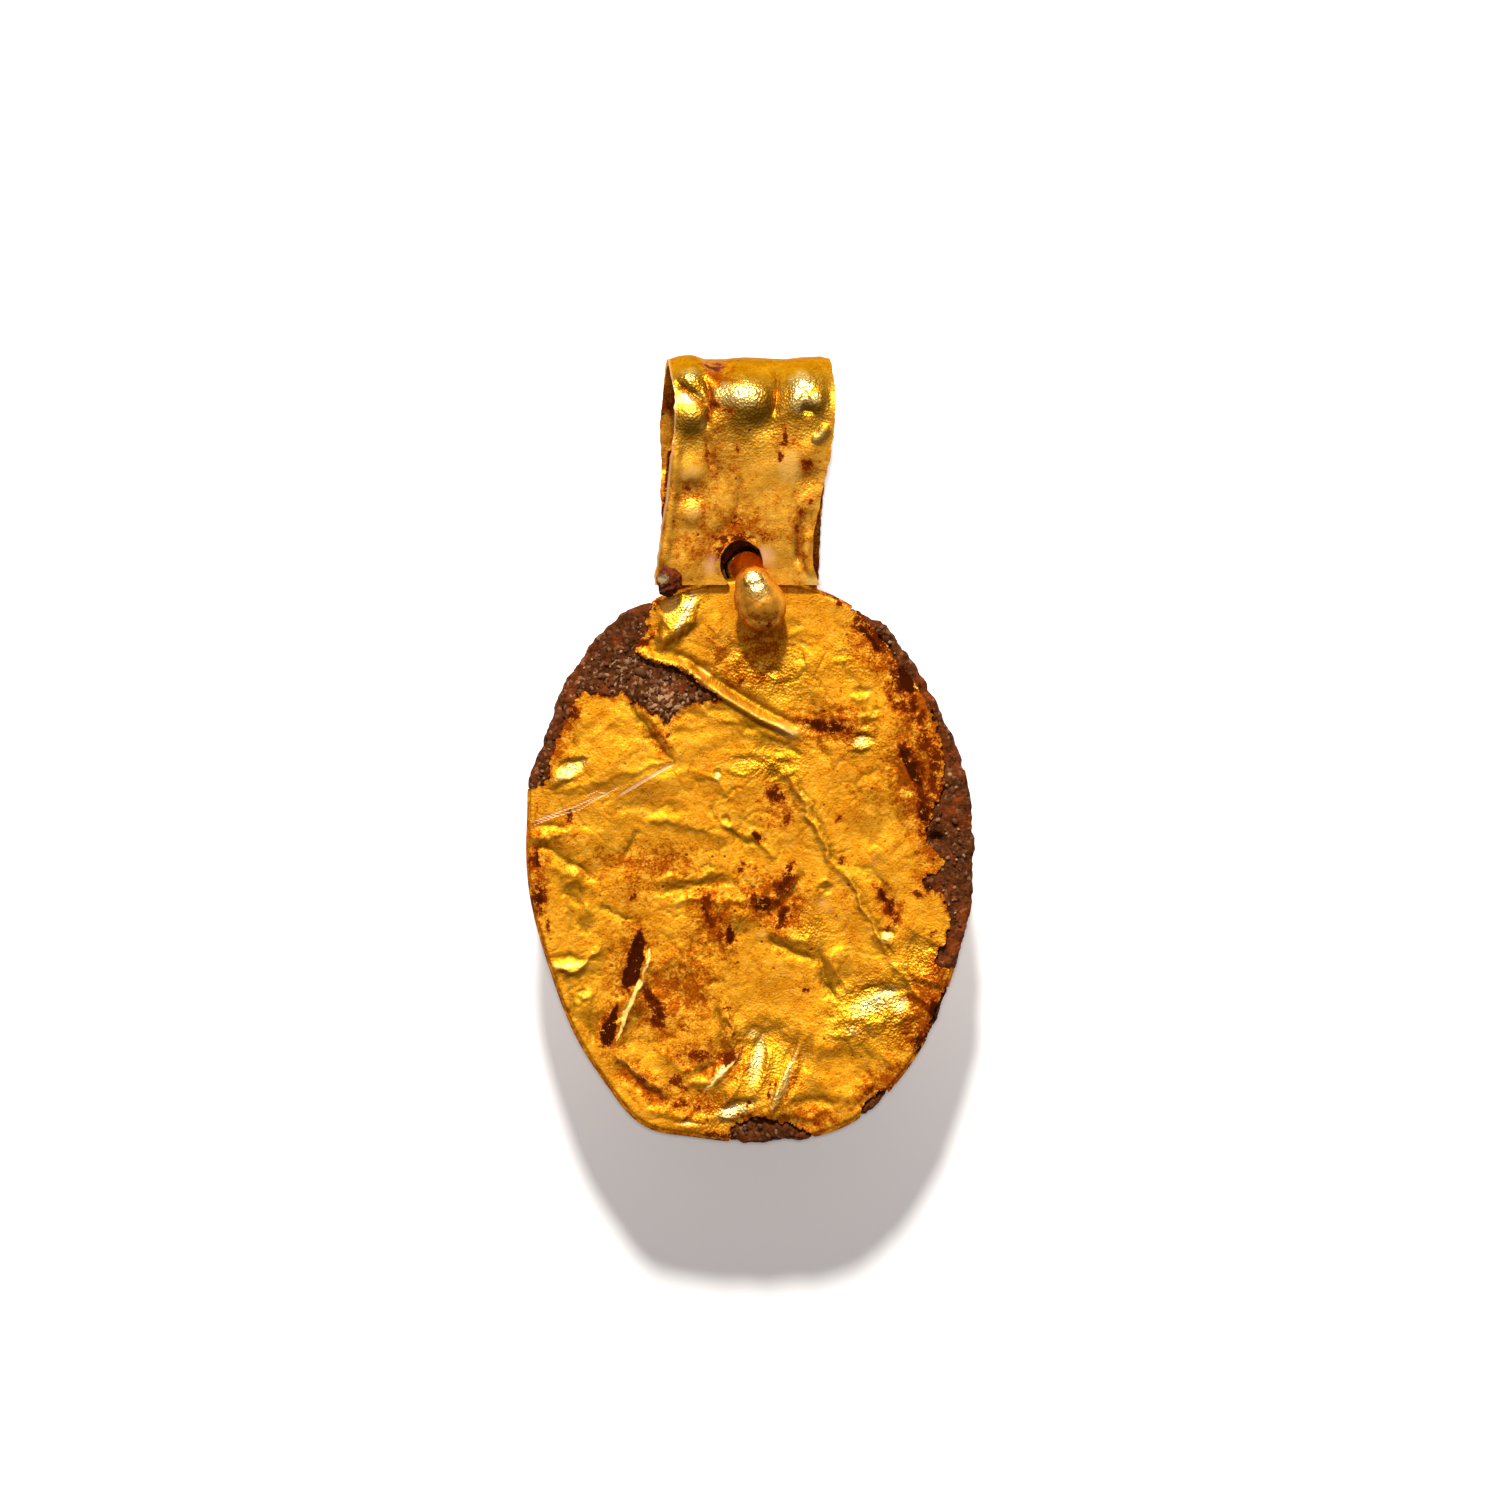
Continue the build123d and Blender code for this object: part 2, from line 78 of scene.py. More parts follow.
def round_rim(angle, rows):
    """Sum of waves round the rim. A row is a middle and a spread in degrees, and an amount."""
    total = 0
    for middle, spread, amount in rows:
        turn = (np.degrees(angle) - middle + 180) % 360 - 180
        total = total + amount * np.exp(-((turn / spread) ** 2))
    return total


def rim_reach(angle):
    """Radius of the oval at an angle in radians, as a share of its half sizes."""
    oval = np.abs(np.cos(angle)) ** SQUARENESS + np.abs(np.sin(angle)) ** SQUARENESS
    return oval ** (-1 / SQUARENESS) * (1 + round_rim(angle, RIM_SWELLINGS))


def on_disc(angle, share):
    """Pixels of a place by its angle and how far out it lies."""
    reach = rim_reach(angle) * share
    px = DISC_MIDDLE[0] + DISC_HALF[0] * reach * np.cos(angle)
    py = DISC_MIDDLE[1] - DISC_HALF[1] * reach * np.sin(angle)
    return px, py


def rim_share(px, py):
    """How far out a place lies: 0 in the middle of the medallion and 1 on its rim."""
    across = (px - DISC_MIDDLE[0]) / DISC_HALF[0]
    up = (DISC_MIDDLE[1] - py) / DISC_HALF[1]
    angle = np.arctan2(up, across)
    return np.hypot(across, up) / rim_reach(angle), angle


DISC_CENTRE = np.array(to_metres(*DISC_MIDDLE))
print("the medallion is", round(2 * DISC_HALF[0] * PIXEL / MM, 1), "mm wide")

# %% [markdown]
# Fields instead of chisels
# A crumpled foil has hundreds of small forms. Sculpting them needs a window and a hand, so each is
# written down instead: a line with a rise and a width on each side, or a spot with a size and a
# turn. These helpers turn such rows into a height or a mask over any set of places.


# %% Fields
def wander(px, py, grain, seed):
    """Smooth noise between about -1 and 1, with lumps of a size in pixels."""
    flat = zip(np.ravel(px), np.ravel(py))
    values = [noise.noise(Vector((x / grain, y / grain, seed))) for x, y in flat]
    return np.array(values).reshape(np.shape(px)) * 2


def to_line(px, py, line):
    """Distance to a bent line, share of its length at the nearest place, and the side."""
    nearest = np.full(np.shape(px), np.inf)
    place = np.zeros(np.shape(px))
    side = np.zeros(np.shape(px))
    lengths = [math.dist(first, second) for first, second in zip(line, line[1:])]
    behind = 0
    for (x1, y1), (x2, y2), length in zip(line, line[1:], lengths):
        dx, dy = x2 - x1, y2 - y1
        along = np.clip(((px - x1) * dx + (py - y1) * dy) / length**2, 0, 1)
        distance = np.hypot(px - x1 - along * dx, py - y1 - along * dy)
        closer = distance < nearest
        nearest = np.where(closer, distance, nearest)
        place = np.where(closer, (behind + along * length) / sum(lengths), place)
        side = np.where(closer, dx * (py - y1) - dy * (px - x1), side)
        behind += length
    return nearest, place, side


def ridge(px, py, line, left, right, crisp=2.0):
    """1 on a line, falling off over its left and right width; a crisp of 1 is a sharp crest."""
    distance, place, side = to_line(px, py, line)
    width = np.where(side > 0, right, left)
    # A fold fades out over the last fifth of its length
    ends = np.clip(np.minimum(place, 1 - place) * 5 + 0.15, 0, 1)
    return np.exp(-((distance / width) ** crisp)) * ends


def spot(px, py, middle_x, middle_y, long, wide, turn, corners=2.0):
    """Distance from a spot's middle, 1 at its edge. The turn is clockwise in degrees.

    Corners of 2 make an oval, and 1 makes a lozenge.
    """
    slant = math.radians(turn)
    dx, dy = px - middle_x, py - middle_y
    along = dx * math.cos(slant) + dy * math.sin(slant)
    aside = -dx * math.sin(slant) + dy * math.cos(slant)
    out = (np.abs(along / long) ** corners + np.abs(aside / wide) ** corners) ** (1 / corners)
    return out, dx, dy


def inside(px, py, outline):
    """Whether a place lies inside an outline: a ray from it crosses the outline an odd number."""
    found = np.zeros(np.shape(px), bool)
    for (x1, y1), (x2, y2) in zip(outline, outline[1:] + outline[:1]):
        if y1 != y2:
            crosses = ((y1 > py) != (y2 > py)) & (px < x1 + (x2 - x1) * (py - y1) / (y2 - y1))
            found ^= crosses
    return found


def depth_inside(px, py, outline):
    """Distance to an outline, more than nought inside it."""
    distance = to_line(px, py, outline + outline[:1])[0]
    return np.where(inside(px, py, outline), distance, -distance)


def strongest(px, py, spots):
    """Mask of many spots: over 1 in a strong middle, 0.65 on its edge, 0 at twice its size."""
    mask = np.zeros(np.shape(px))
    for x, y, long, wide, turn, strength in spots:
        out = spot(px, py, x, y, long, wide, turn)[0]
        mask = np.maximum(mask, strength * np.clip(1.3 - 0.65 * out, 0, 1.3))
    return mask


print("noise in the middle:", round(float(wander(750, 860, 15, 11)), 2))

# %% [markdown]
# The folds of the front foil
# Each row is a fold of the real foil: its rise in millimetres, its width on the left and on the
# right of somebody walking along it, in pixels, and the line itself. A minus rise is a crease.

# %% Folds
# The rolled lip of the tear, which runs on as a long overlap with a seam over it
LIP_FOLDS = [
    (0.24, 5.0, 3.0, [(634, 650), (645, 656), (655, 661), (675, 665), (690, 673), (712, 690)]),
    (0.24, 5.0, 3.0, [(706, 685), (725, 698), (740, 707), (760, 719), (780, 728), (800, 737)]),
    (-0.12, 4, 4, [(668, 650), (690, 660), (706, 672), (728, 687), (748, 699), (768, 711),
                   (800, 727)]),
]
FACE_FOLDS = [
    (-0.2, 7, 8, [(738, 724), (755, 733), (775, 741), (797, 750)]),
    # crest of the bright flap under the bail's left corner, and folds beside it
    (0.15, 4, 15, [(701, 592), (697, 600), (688, 612), (681, 630), (672, 639)]),
    (-0.1, 4, 4, [(706, 596), (697, 612), (690, 632), (684, 646)]),
    (0.08, 6, 5, [(725, 592), (722, 612), (716, 636), (720, 660)]),
    (-0.08, 4, 5, [(735, 640), (728, 655), (715, 668)]),
    # panel at the left, below the tear
    (-0.18, 4, 4, [(627, 699), (640, 717), (652, 736), (662, 750), (674, 764)]),
    (0.12, 5, 6, [(636, 698), (650, 718), (664, 738), (680, 757)]),
    (0.1, 9, 6, [(585, 742), (606, 728), (622, 712)]),
    (0.14, 10, 4, [(552, 792), (575, 788), (600, 782), (640, 770), (676, 757)]),
    (0.1, 5, 5, [(668, 776), (690, 772), (704, 774), (715, 780), (724, 790), (730, 803)]),
    # left edge
    (0.12, 8, 4, [(530, 838), (548, 840), (566, 833), (580, 822)]),
    (-0.14, 3, 3, [(530, 843), (548, 850), (565, 858), (580, 868), (594, 879)]),
    (0.1, 8, 5, [(545, 862), (562, 872), (585, 888), (600, 897)]),
    (-0.1, 4, 4, [(560, 880), (568, 898), (572, 922), (568, 942)]),
    (-0.13, 3, 4, [(598, 903), (610, 911), (622, 916), (638, 922)]),
    (0.24, 8, 3, [(548, 966), (560, 971), (572, 972), (585, 965), (596, 955), (605, 943)]),
    (-0.12, 3, 3, [(566, 978), (570, 990), (573, 1003), (571, 1020)]),
    (0.1, 6, 6, [(590, 968), (592, 990), (586, 1015), (590, 1040)]),
    # the dagger fold and its lower branch
    (0.34, 7, 3, [(650, 948), (645, 965), (640, 980), (633, 1000), (625, 1015), (617, 1041)]),
    (-0.2, 6, 6, [(640, 938), (634, 960), (626, 982), (620, 1000)]),
    (0.12, 6, 6, [(648, 975), (662, 966), (676, 958), (684, 944), (686, 930)]),
    (0.24, 7, 4, [(610, 1051), (625, 1064), (640, 1076), (655, 1086), (670, 1094)]),
    (-0.16, 3, 5, [(616, 1062), (632, 1078), (648, 1090), (666, 1099)]),
    (0.12, 5, 5, [(655, 1046), (670, 1060), (690, 1072), (700, 1086)]),
    # middle
    (-0.14, 3, 4, [(640, 830), (630, 846), (624, 860)]),
    (0.12, 9, 4, [(640, 826), (662, 822), (690, 826), (712, 832), (735, 846)]),
    (-0.15, 3, 3, [(726, 826), (736, 836), (748, 842), (760, 846)]),
    (0.14, 4, 5, [(718, 812), (724, 824), (735, 832), (752, 838), (768, 848), (775, 862)]),
    (-0.12, 5, 5, [(672, 890), (690, 884), (710, 882), (730, 876)]),
    (0.12, 4, 4, [(664, 905), (690, 898), (716, 902), (742, 900), (762, 893), (772, 880)]),
    (-0.14, 3, 3, [(801, 866), (797, 885), (786, 901), (776, 912), (760, 918)]),
    (0.16, 4, 5, [(793, 866), (789, 884), (779, 897), (768, 906), (752, 910)]),
    (0.12, 4, 4, [(700, 902), (712, 922), (722, 940), (735, 950)]),
    (-0.22, 4, 4, [(766, 934), (780, 947), (800, 955), (819, 960)]),
    (-0.2, 4, 4, [(823, 943), (819, 960), (824, 978), (831, 990), (838, 1001)]),
    (0.14, 6, 5, [(772, 926), (790, 938), (812, 946)]),
    (0.12, 5, 6, [(832, 955), (838, 975), (848, 992)]),
    (0.1, 5, 5, [(684, 946), (690, 962), (700, 980), (702, 1000)]),
    # the long fold down the right
    (0.26, 14, 3.0, [(784, 764), (800, 796), (812, 818), (822, 840), (829, 860), (841, 870)]),
    (0.26, 14, 3.0, [(836, 866), (852, 884), (861, 902), (870, 922), (882, 946), (893, 960)]),
    (0.22, 14, 3.0, [(890, 956), (905, 980), (916, 993), (926, 1006), (931, 1022)]),
    (-0.12, 3.0, 3.0, [(790, 768), (804, 792), (817, 816), (828, 840), (834, 858), (846, 870)]),
    (-0.12, 3.0, 3.0, [(846, 870), (857, 886), (866, 904), (875, 924), (886, 945), (898, 962)]),
    (-0.1, 3.0, 3.0, [(898, 962), (910, 982), (922, 996), (931, 1010)]),
    (0.1, 6, 6, [(830, 868), (818, 884), (812, 905), (818, 925)]),
    (-0.13, 3, 4, [(815, 739), (822, 750), (831, 762)]),
    (-0.12, 4, 4, [(888, 758), (898, 772), (906, 788), (909, 803)]),
    (0.12, 5, 5, [(880, 764), (892, 780), (899, 800), (900, 822)]),
    (-0.07, 4, 4, [(858, 812), (855, 795), (862, 778), (878, 768), (893, 778)]),
    (0.08, 8, 8, [(905, 690), (912, 720), (925, 745), (932, 770)]),
    (-0.1, 4, 5, [(853, 866), (872, 868), (884, 884), (890, 905)]),
    # bottom: the folded ridge and the pleats that run to the rim
    (0.26, 5, 5, [(722, 1002), (727, 1018), (731, 1034), (736, 1056), (726, 1070), (706, 1092)]),
    (-0.14, 4, 4, [(714, 1004), (718, 1020), (722, 1040), (722, 1054), (708, 1070)]),
    (0.2, 6, 4, [(748, 1052), (744, 1070), (736, 1090), (722, 1108)]),
    (0.24, 6, 4, [(770, 1046), (768, 1064), (762, 1080), (754, 1098)]),
    (0.22, 6, 4, [(800, 1042), (792, 1062), (782, 1082), (770, 1106)]),
    (-0.08, 3, 3, [(790, 1046), (783, 1070), (774, 1092), (765, 1112)]),
    (-0.08, 3, 3, [(812, 1040), (806, 1060), (796, 1080), (786, 1100)]),
    (0.12, 8, 6, [(820, 1040), (815, 1062), (806, 1082)]),
    (-0.09, 4, 4, [(864, 1040), (867, 1055), (871, 1070), (873, 1088)]),
    (0.08, 6, 8, [(846, 1040), (856, 1054), (862, 1072)]),
    (0.12, 5, 5, [(640, 1104), (662, 1112), (690, 1117), (716, 1120)]),
    (0.1, 6, 6, [(876, 1052), (892, 1062), (905, 1060)]),
    (0.07, 5, 8, [(838, 1000), (850, 1012), (850, 1030), (866, 1040)]),
]

# Facets of the foil: middle, half length, half width, clockwise turn in degrees, and how many
# degrees they lean towards the top of the picture and to its right
FACE_FACETS = [
    (685, 603, 40, 17, -62, 22, 0), (680, 661, 10, 6, 10, 17, 0), (705, 672, 12, 7, 25, 18, 0),
    (776, 675, 8, 8, 0, 16, 0), (568, 771, 19, 8, -34, 27, 0), (794, 628, 11, 8, 0, 16, 0),
    (843, 658, 9, 6, 0, 13, 0), (861, 694, 11, 7, -15, 17, 0), (875, 714, 6, 6, 0, 16, 0),
    (810, 733, 8, 5, 0, 16, 0), (862, 743, 11, 8, -20, 24, 0), (745, 765, 18, 7, -8, 18, 0),
    (785, 768, 9, 8, 30, 18, 0), (717, 776, 5, 6, 0, 20, 0), (668, 815, 17, 9, -10, 13, 0),
    (727, 822, 6, 6, 0, 19, 0), (548, 832, 19, 8, -4, 14, 0), (570, 964, 26, 9, 0, 16, 0),
    (887, 937, 9, 7, -30, 26, 0), (872, 1006, 34, 19, -28, 12, 0), (884, 996, 12, 6, -30, 12, 0),
    (905, 1008, 10, 12, 20, 12, 0), (846, 1030, 15, 8, -10, 18, 0), (925, 962, 24, 17, 60, 9, -4),
    (768, 1072, 50, 40, 0, 12, 0), (753, 1034, 10, 7, 0, 12, 0), (755, 1066, 32, 8, 103, 3, 7),
    (784, 1076, 36, 6, 108, 2, 7), (801, 1070, 28, 6, 106, 2, 6), (702, 1077, 13, 9, -40, 21, 0),
    (736, 1110, 18, 8, -22, 26, 0), (690, 1124, 14, 5, 8, 18, 0), (845, 1075, 34, 24, 0, 9, 0),
    (808, 1108, 26, 9, -12, 14, 0), (583, 995, 6, 5, 0, 24, 0), (604, 746, 30, 24, 0, 5, -4),
    (650, 793, 34, 16, -20, -7, 0), (596, 852, 36, 22, 20, -5, 2), (576, 888, 13, 13, 0, -14, 0),
    (585, 920, 9, 13, 0, -11, 0), (590, 1014, 10, 20, -10, -10, 5), (672, 885, 20, 9, -6, -14, 0),
    (712, 880, 22, 7, -4, -15, 0), (738, 925, 16, 13, 0, -10, 0), (652, 1022, 30, 26, 0, -5, 0),
    (790, 990, 36, 30, 0, -3, 0), (836, 972, 15, 24, 20, -11, 4), (770, 742, 26, 8, 22, -15, 0),
    (866, 720, 8, 8, 0, -14, 0), (772, 770, 7, 7, 0, -16, 0), (826, 885, 7, 7, 0, -18, 0),
    (905, 850, 24, 40, 0, 0, 5), (870, 815, 26, 28, 0, -5, 3), (700, 735, 22, 14, 0, 6, -3),
    (760, 690, 30, 18, 0, -4, 0), (722, 715, 16, 6, 26, 13, 0), (690, 720, 20, 8, 0, 12, 0),
]
print(len(FACE_FOLDS), "folds and", len(FACE_FACETS), "facets on the front foil")

# %% [markdown]
# Where the foil is gone
# At the upper left the foil is torn away, and along the right and the bottom of the rim it has worn
# off. Each bare area is an outline; what lies inside it is cut out of the foil's mesh.

# %% Bare areas
TORN_PATCH = [
    (656, 600), (650, 614), (645, 622), (648, 631), (640, 640), (634, 650), (645, 657), (655, 664),
    (675, 667), (690, 675), (700, 684), (712, 692), (722, 700), (709, 702), (697, 702), (685, 709),
    (676, 716), (668, 722), (660, 716), (650, 712), (640, 705), (630, 700), (622, 692), (615, 697),
    (605, 697), (598, 693), (590, 696), (583, 691), (575, 702), (567, 716), (561, 730), (556, 745),
    (551, 760), (549, 778), (543, 787), (500, 790), (500, 600), (640, 570),
]
RIGHT_CRUST = [
    (990, 700), (953, 715), (944, 728), (941, 742), (943, 768), (943, 790), (935, 806), (931, 818),
    (925, 830), (928, 842), (934, 850), (943, 861), (937, 873), (922, 877), (921, 885), (928, 891),
    (942, 893), (946, 904), (950, 917), (949, 932), (945, 943), (938, 952), (934, 962), (944, 968),
    (957, 970), (990, 975),
]
BOTTOM_CRUST = [
    (726, 1160), (729, 1134), (734, 1125), (744, 1120), (756, 1117), (768, 1118), (780, 1123),
    (790, 1124), (799, 1130), (812, 1133), (818, 1160),
]
LOWER_RIGHT_CRUST = [(859, 1125), (862, 1108), (870, 1097), (880, 1093), (893, 1088), (915, 1110)]
BARE_AREAS = [TORN_PATCH, RIGHT_CRUST, BOTTOM_CRUST, LOWER_RIGHT_CRUST]

# Bare strip along the rim: middle in degrees, spread in degrees, width in pixels
BARE_RIM = [(57, 5, 6), (47, 7, 12), (36, 6, 7), (28, 5, 8), (20, 6, 9), (-33, 5, 6), (151, 7, 7)]


def foil_margin(px, py):
    """How far a place lies inside the ragged edge of the front foil, in pixels."""
    ragged = 1.6 * wander(px, py, 5, 3) + 1.2 * wander(px, py, 11, 4)
    margin = np.full(np.shape(px), 99.0)
    for outline in BARE_AREAS:
        margin = np.minimum(margin, ragged - depth_inside(px, py, outline))
    share, angle = rim_share(px, py)
    strip = round_rim(angle, BARE_RIM)
    from_rim = (1 - share) * DISC_HALF[0]
    worn = np.where(strip > 1.5, from_rim - strip + ragged, 99)
    return np.minimum(margin, worn)


print(len(BARE_AREAS), "bare areas and", len(BARE_RIM), "worn places on the rim")

# %% [markdown]
# The height of the face
# Folds and facets are added to a gently swelling base, the rim turns down over the core's edge, and
# two grains of noise crumple what is left between the named folds. Where the bail and the pin lie
# over the foil, it stays low enough to clear them.

# %% Height of the face
FACE_MEAN = 6.2 * MM
FOIL_WALL = 0.2 * MM
RIM_TURN = 0.45  # mm that the rim turns down
RIM_TURN_START = 0.982
FACET_CORNERS = 1.3  # between a lozenge and an oval
FOLD_CRISP = 1.25  # 2 would be a soft roll, 1 a knife crest
FOLD_SHARE = 0.50  # share of each fold's rise that the worn foil still shows
FACET_SHARE = 0.70
FACE_HIGHEST = 0.42  # mm over the base that no fold may pass
PLEATS = (765, 1075, 52, 44, 0)
# Areas that are crumpled more, or with a minus less, than the rest
BUSY_AREAS = [
    (790, 680, 60, 50, 0, 0.8), (770, 1070, 60, 45, 0, -0.3), (720, 785, 50, 30, 20, 0.5),
    (575, 900, 25, 60, 0, 0.3), (720, 900, 50, 50, 0, 0.4), (870, 1010, 50, 30, 0, 0.4),
    (770, 990, 45, 35, 0, -0.4), (885, 830, 30, 50, 0, -0.35), (640, 850, 50, 35, 0, -0.3),
    (590, 1030, 25, 40, 0, -0.3), (600, 740, 30, 25, 0, -0.3), (650, 1030, 28, 20, 0, -0.3),
]
FACE_SWELLS = [
    (870, 735, 70, 60, 0, 0.1), (600, 760, 50, 45, 0, 0.1), (650, 960, 60, 60, 0, -0.08),
    (830, 1040, 60, 50, 0, 0.1), (700, 850, 80, 50, 0, -0.06), (760, 990, 60, 40, 0, -0.06),
]


def face_base(px, py):
    """Height of the face without its folds, in millimetres over its mean."""
    height = np.zeros(np.shape(px))
    for x, y, long, wide, turn, rise in FACE_SWELLS:
        out = spot(px, py, x, y, long, wide, turn)[0]
        height = height + rise * np.exp(-(out**2))
    share = rim_share(px, py)[0]
    turned = np.clip((share - RIM_TURN_START) / (1 - RIM_TURN_START), 0, 1)
    return height - RIM_TURN * turned**2.2


def face_relief(px, py):
    """Folds, facets and crumple of the front foil, in millimetres."""
    # The named forms waver a little, except for the straight pleats at the bottom
    pleated = np.exp(-(spot(px, py, *PLEATS)[0] ** 4))
    loose = 1 - 0.75 * pleated
    wx = px + (2.4 * wander(px, py, 15, 11) + 1.0 * wander(px, py, 5, 13)) * loose
    wy = py + (2.4 * wander(px, py, 15, 12) + 1.0 * wander(px, py, 5, 14)) * loose
    height = np.zeros(np.shape(px))
    for rise, left, right, line in FACE_FOLDS:
        fold = FOLD_SHARE * rise * ridge(wx, wy, line, left, right, FOLD_CRISP)
        height = height + fold * (1 - 0.1 * pleated)
    for rise, left, right, line in LIP_FOLDS:
        height = height + rise * ridge(px, py, line, left, right)
    for x, y, long, wide, turn, to_top, to_right in FACE_FACETS:
        out, dx, dy = spot(wx, wy, x, y, 1.15 * long, 1.15 * wide, turn, FACET_CORNERS)
        slope = math.tan(math.radians(to_top)) * dy - math.tan(math.radians(to_right)) * dx
        height = height + FACET_SHARE * slope * PIXEL / MM * np.exp(-(out**6) * 0.8)
    # Crumple of every size between the folds; its size in pixels stands before the seed
    busy = 0.65 + 0.35 * wander(px, py, 60, 25)
    for x, y, long, wide, turn, more in BUSY_AREAS:
        busy = busy + more * np.exp(-(spot(px, py, x, y, long, wide, turn)[0] ** 2))
    crumple = 0.038 * wander(px, py, 38, 21) - 0.020 * np.abs(wander(wx, wy, 30, 22))
    crumple = crumple - 0.010 * np.abs(wander(wx, wy, 14, 23))
    crumple = crumple - 0.005 * np.abs(wander(px, py, 6, 24)) + 0.002 * wander(px, py, 3, 26)
    # Thin creases run where a noise changes its sign
    crumple = crumple - 0.022 * np.exp(-((wander(wx, wy, 34, 27) / 0.07) ** 2))
    crumple = crumple - 0.012 * np.exp(-((wander(wx, wy, 15, 28) / 0.10) ** 2))
    crumple = crumple * np.clip(busy, 0.3, 2)
    low_under_pin = 1 - 0.8 * np.exp(-(np.hypot((px - 760) / 45, (py - 608) / 42) ** 4))
    low_under_bail = np.clip((py - 592) / 14, 0, 1)
    return np.minimum(height + crumple, FACE_HIGHEST) * low_under_pin * low_under_bail


def face_height(px, py):
    return FACE_MEAN + (face_base(px, py) + face_relief(px, py)) * MM


in_middle = face_height(*np.array(DISC_MIDDLE, float).reshape(2, 1))[0]
print("the foil's middle lies", round(float(in_middle) / MM, 2), "mm above the table")

# %% [markdown]
# Tools for every piece
# The moves that a modeller makes again and again are helpers: read where the vertices are, put
# them back moved, edit a selection, apply a modifier, cut a sheet. A sheet is a square grid laid in
# rings over the oval. A grid that is only cut to the oval would have stairs at its rim.

# %% Modelling helpers
CUT_REACH = 3.0  # pixels over which a cut edge is drawn onto its outline


def deselect():
    bpy.ops.object.select_all(action="DESELECT")


def just_made(name):
    """What the last operator made, with the name on the object and on its mesh."""
    piece = bpy.context.object
    piece.name = name
    piece.data.name = name
    return piece


def places(piece, kind="co"):
    """Places of a piece's vertices, or with the kind normal the way that each one faces."""
    flat = np.empty(len(piece.data.vertices) * 3)
    piece.data.vertices.foreach_get(kind, flat)
    return flat.reshape(-1, 3)


def move_to(piece, points):
    piece.data.vertices.foreach_set("co", np.ravel(points))
    piece.data.update()


def edit_selected(piece, chosen, *steps):
    """Edit mode with only the chosen vertices selected, and these operators in turn."""
    deselect()
    bpy.context.view_layer.objects.active = piece
    piece.select_set(True)
    bpy.ops.object.mode_set(mode="EDIT")
    bpy.ops.mesh.select_mode(type="VERT")
    bpy.ops.mesh.select_all(action="DESELECT")
    bpy.ops.object.mode_set(mode="OBJECT")
    piece.data.vertices.foreach_set("select", np.array(chosen, bool))
    bpy.ops.object.mode_set(mode="EDIT")
    for operator, options in steps:
        operator(**options)
    bpy.ops.object.mode_set(mode="OBJECT")


def apply_modifier(piece, kind, **settings):
    deselect()
    bpy.context.view_layer.objects.active = piece
    piece.select_set(True)
    made = piece.modifiers.new(kind.lower(), kind)
    for name, value in settings.items():
        setattr(made, name, value)
    bpy.ops.object.modifier_apply(modifier=made.name)


def join(piece, parts):
    deselect()
    for part in [piece, *parts]:
        part.select_set(True)
    bpy.context.view_layer.objects.active = piece
    bpy.ops.object.join()


def open_edges(piece):
    """The vertices on an edge that only one face uses."""
    corners = np.empty(len(piece.data.loops), int)
    piece.data.loops.foreach_get("edge_index", corners)
    uses = np.bincount(corners, minlength=len(piece.data.edges))
    ends = np.empty(len(piece.data.edges) * 2, int)
    piece.data.edges.foreach_get("vertices", ends)
    found = np.zeros(len(piece.data.vertices), bool)
    found[ends.reshape(-1, 2)[uses == 1].ravel()] = True
    return found


def sheet_on_disc(name, squares):
    """A flat square grid whose rings of squares are laid over the oval."""
    deselect()
    bpy.ops.mesh.primitive_grid_add(x_subdivisions=squares, y_subdivisions=squares, size=2)
    sheet = just_made(name)
    flat = places(sheet)
    u, v = flat[:, 0], flat[:, 1]
    share = np.maximum(np.abs(u), np.abs(v))
    safe = np.where(share < 1e-9, 1, share)
    wide = np.abs(u) >= np.abs(v)
    along = np.where(wide, v, u) / safe * math.pi / 4
    angle = np.where(wide, np.where(u >= 0, along, math.pi - along),
                     np.where(v >= 0, math.pi / 2 - along, along - math.pi / 2))
    flat[:, 0], flat[:, 1] = to_metres(*on_disc(angle, share))
    move_to(sheet, flat)
    return sheet


def drawn_to_edge(piece, px, py, margin_at):
    """Places in pixels, with those on a fresh cut moved down the margin's slope to its nought."""
    margin = margin_at(px, py)
    slope_x = margin_at(px + 0.5, py) - margin_at(px - 0.5, py)
    slope_y = margin_at(px, py + 0.5) - margin_at(px, py - 0.5)
    steep = np.maximum(slope_x**2 + slope_y**2, 0.25)
    edge = open_edges(piece) & (margin < CUT_REACH)
    drawn_x = np.where(edge, px - margin * slope_x / steep, px)
    drawn_y = np.where(edge, py - margin * slope_y / steep, py)
    return drawn_x, drawn_y


def cut_away(sheet, margin_at):
    """Deletes what lies outside a margin, and draws the new edge onto its outline."""
    px, py = to_picture(*places(sheet)[:, :2].T)
    edit_selected(sheet, margin_at(px, py) < 0, (bpy.ops.mesh.delete, {"type": "VERT"}))
    flat = places(sheet)
    px, py = to_picture(*flat[:, :2].T)
    flat[:, 0], flat[:, 1] = to_metres(*drawn_to_edge(sheet, px, py, margin_at))
    move_to(sheet, flat)


def keep_inside_rim(points):
    """Draws places that lie over the rim straight back onto it."""
    share = rim_share(*to_picture(*points[:, :2].T))[0]
    points[:, :2] = DISC_CENTRE + (points[:, :2] - DISC_CENTRE) / np.maximum(share, 1)[:, None]


